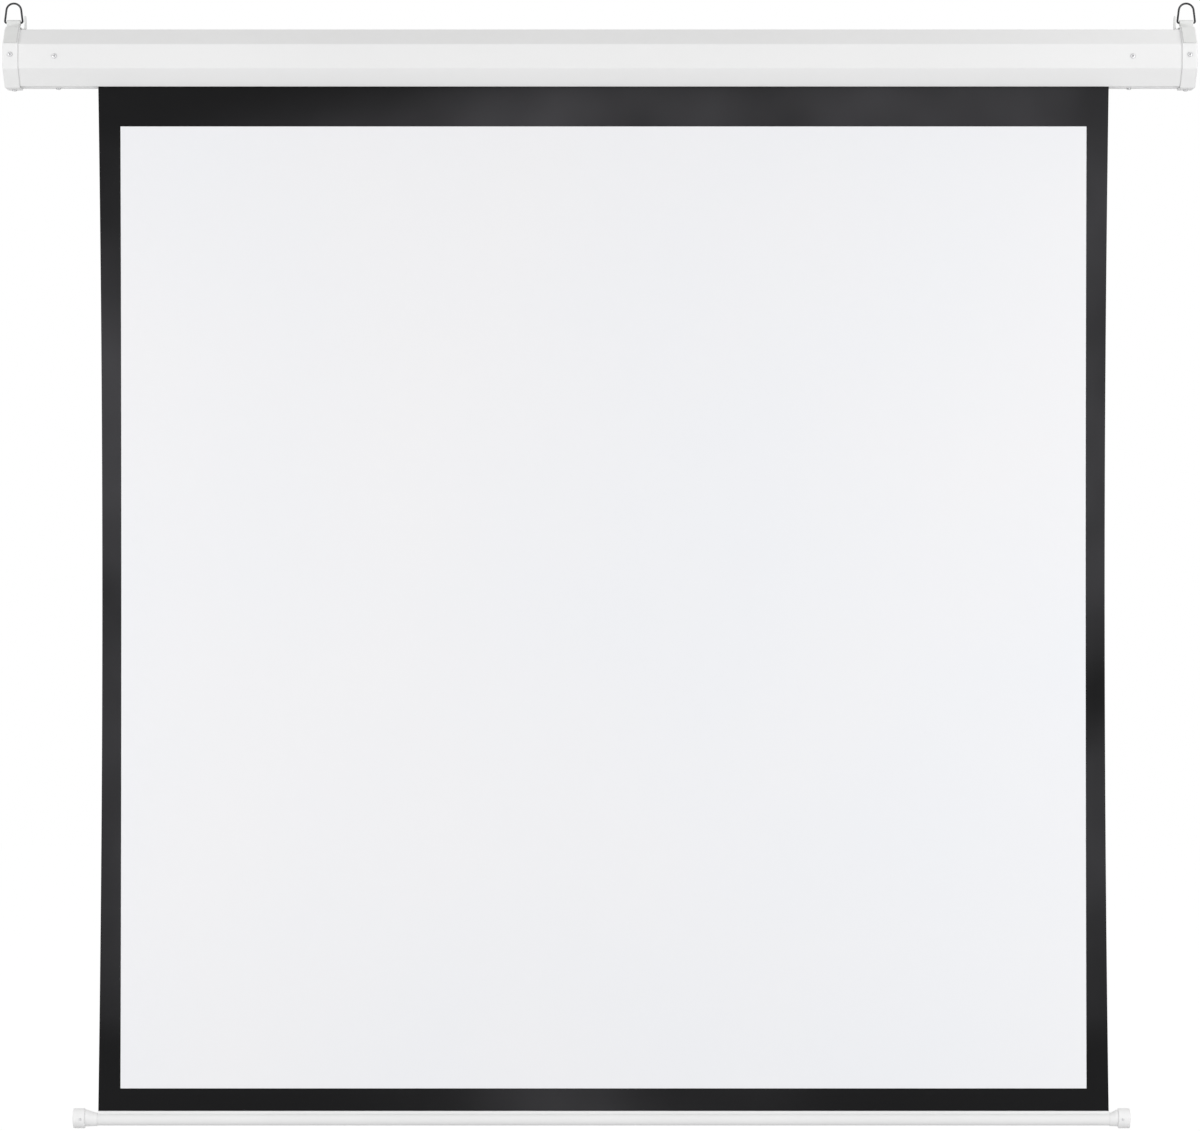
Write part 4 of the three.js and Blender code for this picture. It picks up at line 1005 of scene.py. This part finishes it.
class SCREEN_OT_cloth(bpy.types.Operator):
    """Hang the white cloth with its black back, and print its border"""

    bl_idname = "screen.cloth"
    bl_label = "Cloth"

    def execute(self, context):
        sizes, flats = context.scene.cloth_sizes, context.scene.casing_sizes.flats
        low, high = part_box("projection_cloth")
        border_low, border_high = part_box("black_border")
        left, right, top, bottom = low.x, high.x, high.z, low.z
        middle, half, print_end = (left + right) / 2, (right - left) / 2, border_low.z
        under = CASING_Z - flats / 2
        picture_top = under - sizes.picture_top
        picture_bottom = picture_top - sizes.picture_height

        beside, across, down, in_casing, clear = 4, 56, 64, 20 * MM, 0.02 * MM
        rows = [top, top - in_casing, under, *between(under, picture_top, 3)]
        first_picture_row = len(rows) - 1
        rows += between(picture_top, picture_bottom, down)
        last_picture_row = len(rows) - 1
        rows += between(picture_bottom, print_end, 3)
        last_border_row = len(rows) - 1
        rows.append(bottom)

        def columns(z):
            outer = half - bowed(z, under, print_end, sizes.waist)
            inner = sizes.picture_width / 2
            inner -= bowed(z, picture_top, picture_bottom, sizes.picture_waist)
            places = [-outer, *between(-outer, -inner, beside)]
            return places + between(-inner, inner, across) + between(inner, outer, beside)

        # Each ripple's share, its waves across and down, and where it starts.
        ripples = ((0.5, 7.1, 2.0, 1.3), (0.3, 12.7, -3.4, 0.4), (0.2, 2.2, 4.3 * math.pi, 0.0))

        def swing(x, z):
            """How far the cloth hangs behind its plane: slow ripples, and edges that curl back."""
            aside, fall = x / half, (top - z) / (top - bottom)
            held = math.sin(math.pi * part_way(z, under, picture_bottom)) ** 1.5
            ripple = sum(
                tall * math.sin(wide * aside + long * fall + start)
                for tall, wide, long, start in ripples
            )
            # Only the outer tenth of each half curls.
            curl = max(0.0, (abs(aside) - 0.9) / 0.1) ** 2
            return held * (sizes.ripple * (1 + ripple) / 2 + sizes.curl * curl)

        places = [(x, z) for z in rows for x in columns(z)]
        total, count = len(places), len(places) // len(rows)

        def skin(name, keep, front, back, *materials):
            """Front, back and edge faces over the cells of the grid that are kept."""
            points = [(middle + x, y + swing(x, z), z) for y in (front, back) for x, z in places]
            faces, kinds, edges = [], [], {}
            for j in range(len(rows) - 1):
                for k in range(count - 1):
                    if not keep(j, k):
                        continue
                    a, b = j * count + k, j * count + k + 1
                    c, d = b + count, a + count
                    faces += [(a, d, c, b), (a + total, b + total, c + total, d + total)]
                    kinds += [0, 1]
                    for edge in ((a, b), (b, c), (c, d), (d, a)):
                        pair = tuple(sorted(edge))
                        edges[pair] = edges.get(pair, 0) + 1
            rims = [pair for pair, uses in edges.items() if uses == 1]
            faces += [(a, b, b + total, a + total) for a, b in rims]
            kinds += [1] * len(rims)
            obj = new_object(name, points, faces, material=materials[0])
            if len(materials) > 1:
                obj.data.materials.append(materials[1])
                obj.data.polygons.foreach_set("material_index", kinds)
            return outward(obj)

        def beside_and_above(j, k):
            in_picture = beside <= k < beside + across
            return j < first_picture_row or (j < last_picture_row and not in_picture)

        def below(j, k):
            return last_picture_row <= j < last_border_row

        front, ink = low.y, finishes["border"]
        printed = (front - (border_high.y - border_low.y), front - clear, ink)
        faces = finishes["white_cloth"], finishes["backing"]
        sheet = skin("hanging_cloth", lambda j, k: True, front, high.y, *faces)
        border = skin("printed_border", beside_and_above, *printed)
        foot = skin("lower_printed_border", below, *printed)
        placed(finished(foot), "bottom_bar", "black_cloth")
        for piece, slot, cad in (
            (sheet, "white_cloth", "projection_cloth"),
            (border, "black_cloth", "black_border"),
        ):
            smoothed(piece, 40)
            placed(piece, "housing", slot, cad)
            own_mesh(piece)
        return {"FINISHED"}


class SCREEN_OT_bottom_bar(bpy.types.Operator):
    """Draw the bottom bar with its slot lips, and turn its end caps"""

    bl_idname = "screen.bottom_bar"
    bl_label = "Bottom bar"

    def execute(self, context):
        sizes = context.scene.bar_sizes
        low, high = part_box("bottom_bar")
        axis = (low.y + high.y) / 2, low.z + sizes.tube
        edges = [box_end("projection_cloth", side) for _, side in ENDS]
        ends = (low.x, high.x, finishes["bar"])
        shells = [swept("bar_tube", self.tube(sizes, axis), *ends)]
        overrun = 0.8 * MM
        for side in (-1, 1):
            outline = [(axis[0] + side * y, axis[1] + z) for y, z in self.lip(sizes)]
            start, stop = edges[0] - overrun, edges[1] + overrun
            shells.append(swept("lip", outline, start, stop, finishes["bar"]))
        bar = finished(joined("bar_with_lips", shells))
        placed(bar, "bottom_bar", "white_paint", "bottom_bar")

        for (end, side), edge in zip(ENDS, edges):
            outer = box_end(f"{end}_bar_cap", side)
            rings = [
                ring_at("X", outer - side * along, circle(radius, 56, (axis[0], axis[1] + rise)))
                for along, radius, rise in self.cap(sizes, abs(outer - edge) - sizes.sleeve_stop)
            ]
            cap = finished(lofted(f"{end}_bar_end", rings, finishes["white_plastic"]))
            placed(cap, "bottom_bar", "white_plastic", f"{end}_bar_cap")
        return {"FINISHED"}

    def tube(self, sizes, axis):
        """The round bar's section, open at the top where the slot is."""
        inside = sizes.tube - sizes.wall
        wide, narrow = (math.degrees(math.asin(sizes.slot / 2 / r)) for r in (sizes.tube, inside))
        outline = arc(axis, sizes.tube, 90 + wide, 450 - wide, 72)
        return outline + arc(axis, inside, 450 - narrow, 90 + narrow, 60)

    def lip(self, sizes):
        """One lip's section from the bar's axis: an upright with a round at its foot."""
        near, far = sizes.slot / 2, sizes.slot / 2 + sizes.lip_wall
        foot, top, ease = sizes.tube - 1.1 * MM, sizes.tube + sizes.lip, 0.45 * MM
        outline = [(near, foot), (near, top - ease), (near + ease, top)]
        outline += [(far - ease, top), (far, top - ease)]
        fillet = ((0, 1.9), (0.5, 1.0), (1.4, 0.3), (1.4, 0))
        return outline + [(far + out * MM, foot + up * MM) for out, up in fillet]

    def cap(self, sizes, stop):
        """Along, radius and rise of a cap's rings: dished face, drum, sleeve, and back inside."""
        radius, drum, rise, fold = sizes.cap, sizes.cap_length, sizes.cap_rise, sizes.cap_round
        bore, ease, back = sizes.tube + 0.1 * MM, 0.5 * MM, 0.8 * MM
        slope = 0.8   # how much the sleeve's middle rises for each unit of its radius
        steps = [
            (sunk * MM, radius - inset * MM, rise)
            for sunk, inset in ((0.9, 6.5), (0.9, 5.6), (0.5, 5.0), (0.0, 4.4))
        ]
        steps += [(x, y, rise) for x, y in arc((fold, radius - fold), fold, 180, 90, 6)]
        steps += [(fold + 0.6 * MM, radius, rise), (drum - 1.4 * MM, radius, rise)]
        steps += [(x, y, rise) for x, y in arc((drum - back, radius - back), back, 90, 0, 4)]
        wide, narrow, start = sizes.sleeve, sizes.sleeve_end, drum + ease
        foot = slope * (wide - narrow)
        steps += [(drum, wide + ease, foot), (start, wide, foot)]
        for part in between(0, 1, 8):
            eased = part * part * (3 - 2 * part)
            y = wide + (narrow - wide) * eased
            steps.append((start + (stop - start) * part, y, slope * (y - narrow)))
        end = stop + 0.25 * MM
        return steps + [(end, narrow - 0.3 * MM, 0.0), (end, bore, 0.0), (drum, bore, 0.0)]


class SCREEN_OT_stage(bpy.types.Operator):
    """Lay the floor, light the screen softly and set the camera"""

    bl_idname = "screen.stage"
    bl_label = "Floor, light and camera"

    def execute(self, context):
        scene, own = context.scene, context.scene.stage_settings
        scene.view_settings.view_transform = "Standard"
        reach = own.floor_reach
        corners = [(x * reach, y * reach, -own.floor_drop) for x, y in SQUARE]
        pale = self.floor_material(own)
        floor = new_object("floor", corners, [(0, 1, 2, 3)], material=pale)
        self.world(scene, own.sky)

        middle = Vector((0, CLOTH_Y, -own.drop))
        # From a casing's end to the lamp over it, and from the middle to that end.
        aside, ahead, above, half_casing = 0.5, 0.16, 0.9, 0.9
        for side, level, over in ((-1, own.left, own.over_left), (1, own.right, own.over_right)):
            place = Vector((own.aside * side, -own.ahead, -own.softbox_drop))
            away = place - middle
            power = level * math.pi**2 * away.length**3 / -away.y
            self.lamp(scene, "Softbox", place, middle, own.softbox, power)
            end = Vector((half_casing * side, 0, CASING_Z))
            place = end + Vector((aside * side, -ahead, above))
            self.lamp(scene, "Lamp over the end", place, end, own.lamp, over)

        view = bpy.data.cameras.new("Camera")
        view.lens, view.sensor_width, view.clip_end = own.lens, 36, 100
        camera = bpy.data.objects.new("Camera", view)
        camera.location = (0, -own.distance, -own.drop)
        camera.rotation_euler = (math.pi / 2, 0, 0)
        scene.collection.objects.link(camera)
        scene.camera = camera
        return {"FINISHED"}

    def lamp(self, scene, name, place, target, size, power):
        """A square soft lamp that looks at its target and isn't in any picture."""
        lamp = bpy.data.objects.new(name, bpy.data.lights.new(name, "AREA"))
        lamp.data.energy, lamp.data.size = power, size
        lamp.location = place
        lamp.rotation_euler = (target - place).to_track_quat("-Z", "Y").to_euler()
        lamp.visible_camera = False
        scene.collection.objects.link(lamp)

    def seen(self, tree):
        """1 for what the camera, a reflection or glass looks at, 0 for light on the object;
        and 1 for what the camera looks at alone."""
        path = node(tree, "ShaderNodeLightPath").outputs
        either = maths(tree, "MAXIMUM", path["Is Camera Ray"], path["Is Glossy Ray"])
        either = maths(tree, "MAXIMUM", either, path["Is Transmission Ray"])
        return either, path["Is Camera Ray"]

    def world(self, scene, sky):
        """Even light from all round, which shows as white."""
        scene.world = bpy.data.worlds.new("Studio")
        scene.world.use_nodes = True
        tree = scene.world.node_tree
        strength = ranged(tree, self.seen(tree)[0], first=sky)
        fill(tree.nodes["Background"], {"Color": (1, 1, 1, 1), "Strength": strength})

    def floor_material(self, own):
        """A pale floor that shows white, keeps the object's shadow, and is clear from below."""
        material = bpy.data.materials.new("Pale floor")
        material.use_nodes = True
        tree = material.node_tree
        tree.nodes.remove(tree.nodes["Principled BSDF"])
        seen, camera = self.seen(tree)
        glow = maths(tree, "MULTIPLY", seen, 1.0 - own.floor * own.sky)
        lit = node(tree, "ShaderNodeBsdfDiffuse", {"Color": (*[own.floor] * 3, 1)})
        white = node(tree, "ShaderNodeEmission", {"Strength": glow})
        below = node(tree, "ShaderNodeNewGeometry").outputs["Backfacing"]
        inputs = {
            0: maths(tree, "MULTIPLY", below, camera),
            1: node(tree, "ShaderNodeAddShader", {0: lit, 1: white}),
            2: node(tree, "ShaderNodeBsdfTransparent"),
        }
        fill(tree.nodes["Material Output"], {"Surface": node(tree, "ShaderNodeMixShader", inputs)})
        return material


class SCREEN_PT_panel(bpy.types.Panel):
    """Lists what makes the screen, in order"""

    bl_idname = "SCREEN_PT_panel"
    bl_label = "Projector screen"
    bl_space_type = "VIEW_3D"
    bl_region_type = "UI"
    bl_category = "Screen"

    def draw(self, context):
        for operator in OPERATORS:
            self.layout.operator(operator.bl_idname)
        for name in SETTINGS:
            box = self.layout.box()
            group = getattr(context.scene, name)
            for key in group.__annotations__:
                box.prop(group, key)


SETTINGS = {
    "casing_sizes": CasingSizes,
    "hanger_sizes": HangerSizes,
    "screw_sizes": ScrewSizes,
    "cloth_sizes": ClothSizes,
    "bar_sizes": BarSizes,
    "screen_finishes": ScreenFinishes,
    "stage_settings": StageSettings,
}
OPERATORS = (
    SCREEN_OT_finishes,
    SCREEN_OT_casing,
    SCREEN_OT_end_caps,
    SCREEN_OT_straps,
    SCREEN_OT_bails,
    SCREEN_OT_screws,
    SCREEN_OT_cloth,
    SCREEN_OT_bottom_bar,
    SCREEN_OT_stage,
)


def register():
    for name, group in SETTINGS.items():
        bpy.utils.register_class(group)
        setattr(bpy.types.Scene, name, PointerProperty(type=group))
    for made in (*OPERATORS, SCREEN_PT_panel):
        bpy.utils.register_class(made)


def unregister():
    for made in (SCREEN_PT_panel, *OPERATORS[::-1]):
        bpy.utils.unregister_class(made)
    for name, group in reversed(SETTINGS.items()):
        delattr(bpy.types.Scene, name)
        bpy.utils.unregister_class(group)


def main():
    register()
    for operator in OPERATORS:
        group, name = operator.bl_idname.split(".")
        getattr(getattr(bpy.ops, group), name)()
    bpy.context.view_layer.update()


if __name__ == "__main__":
    main()
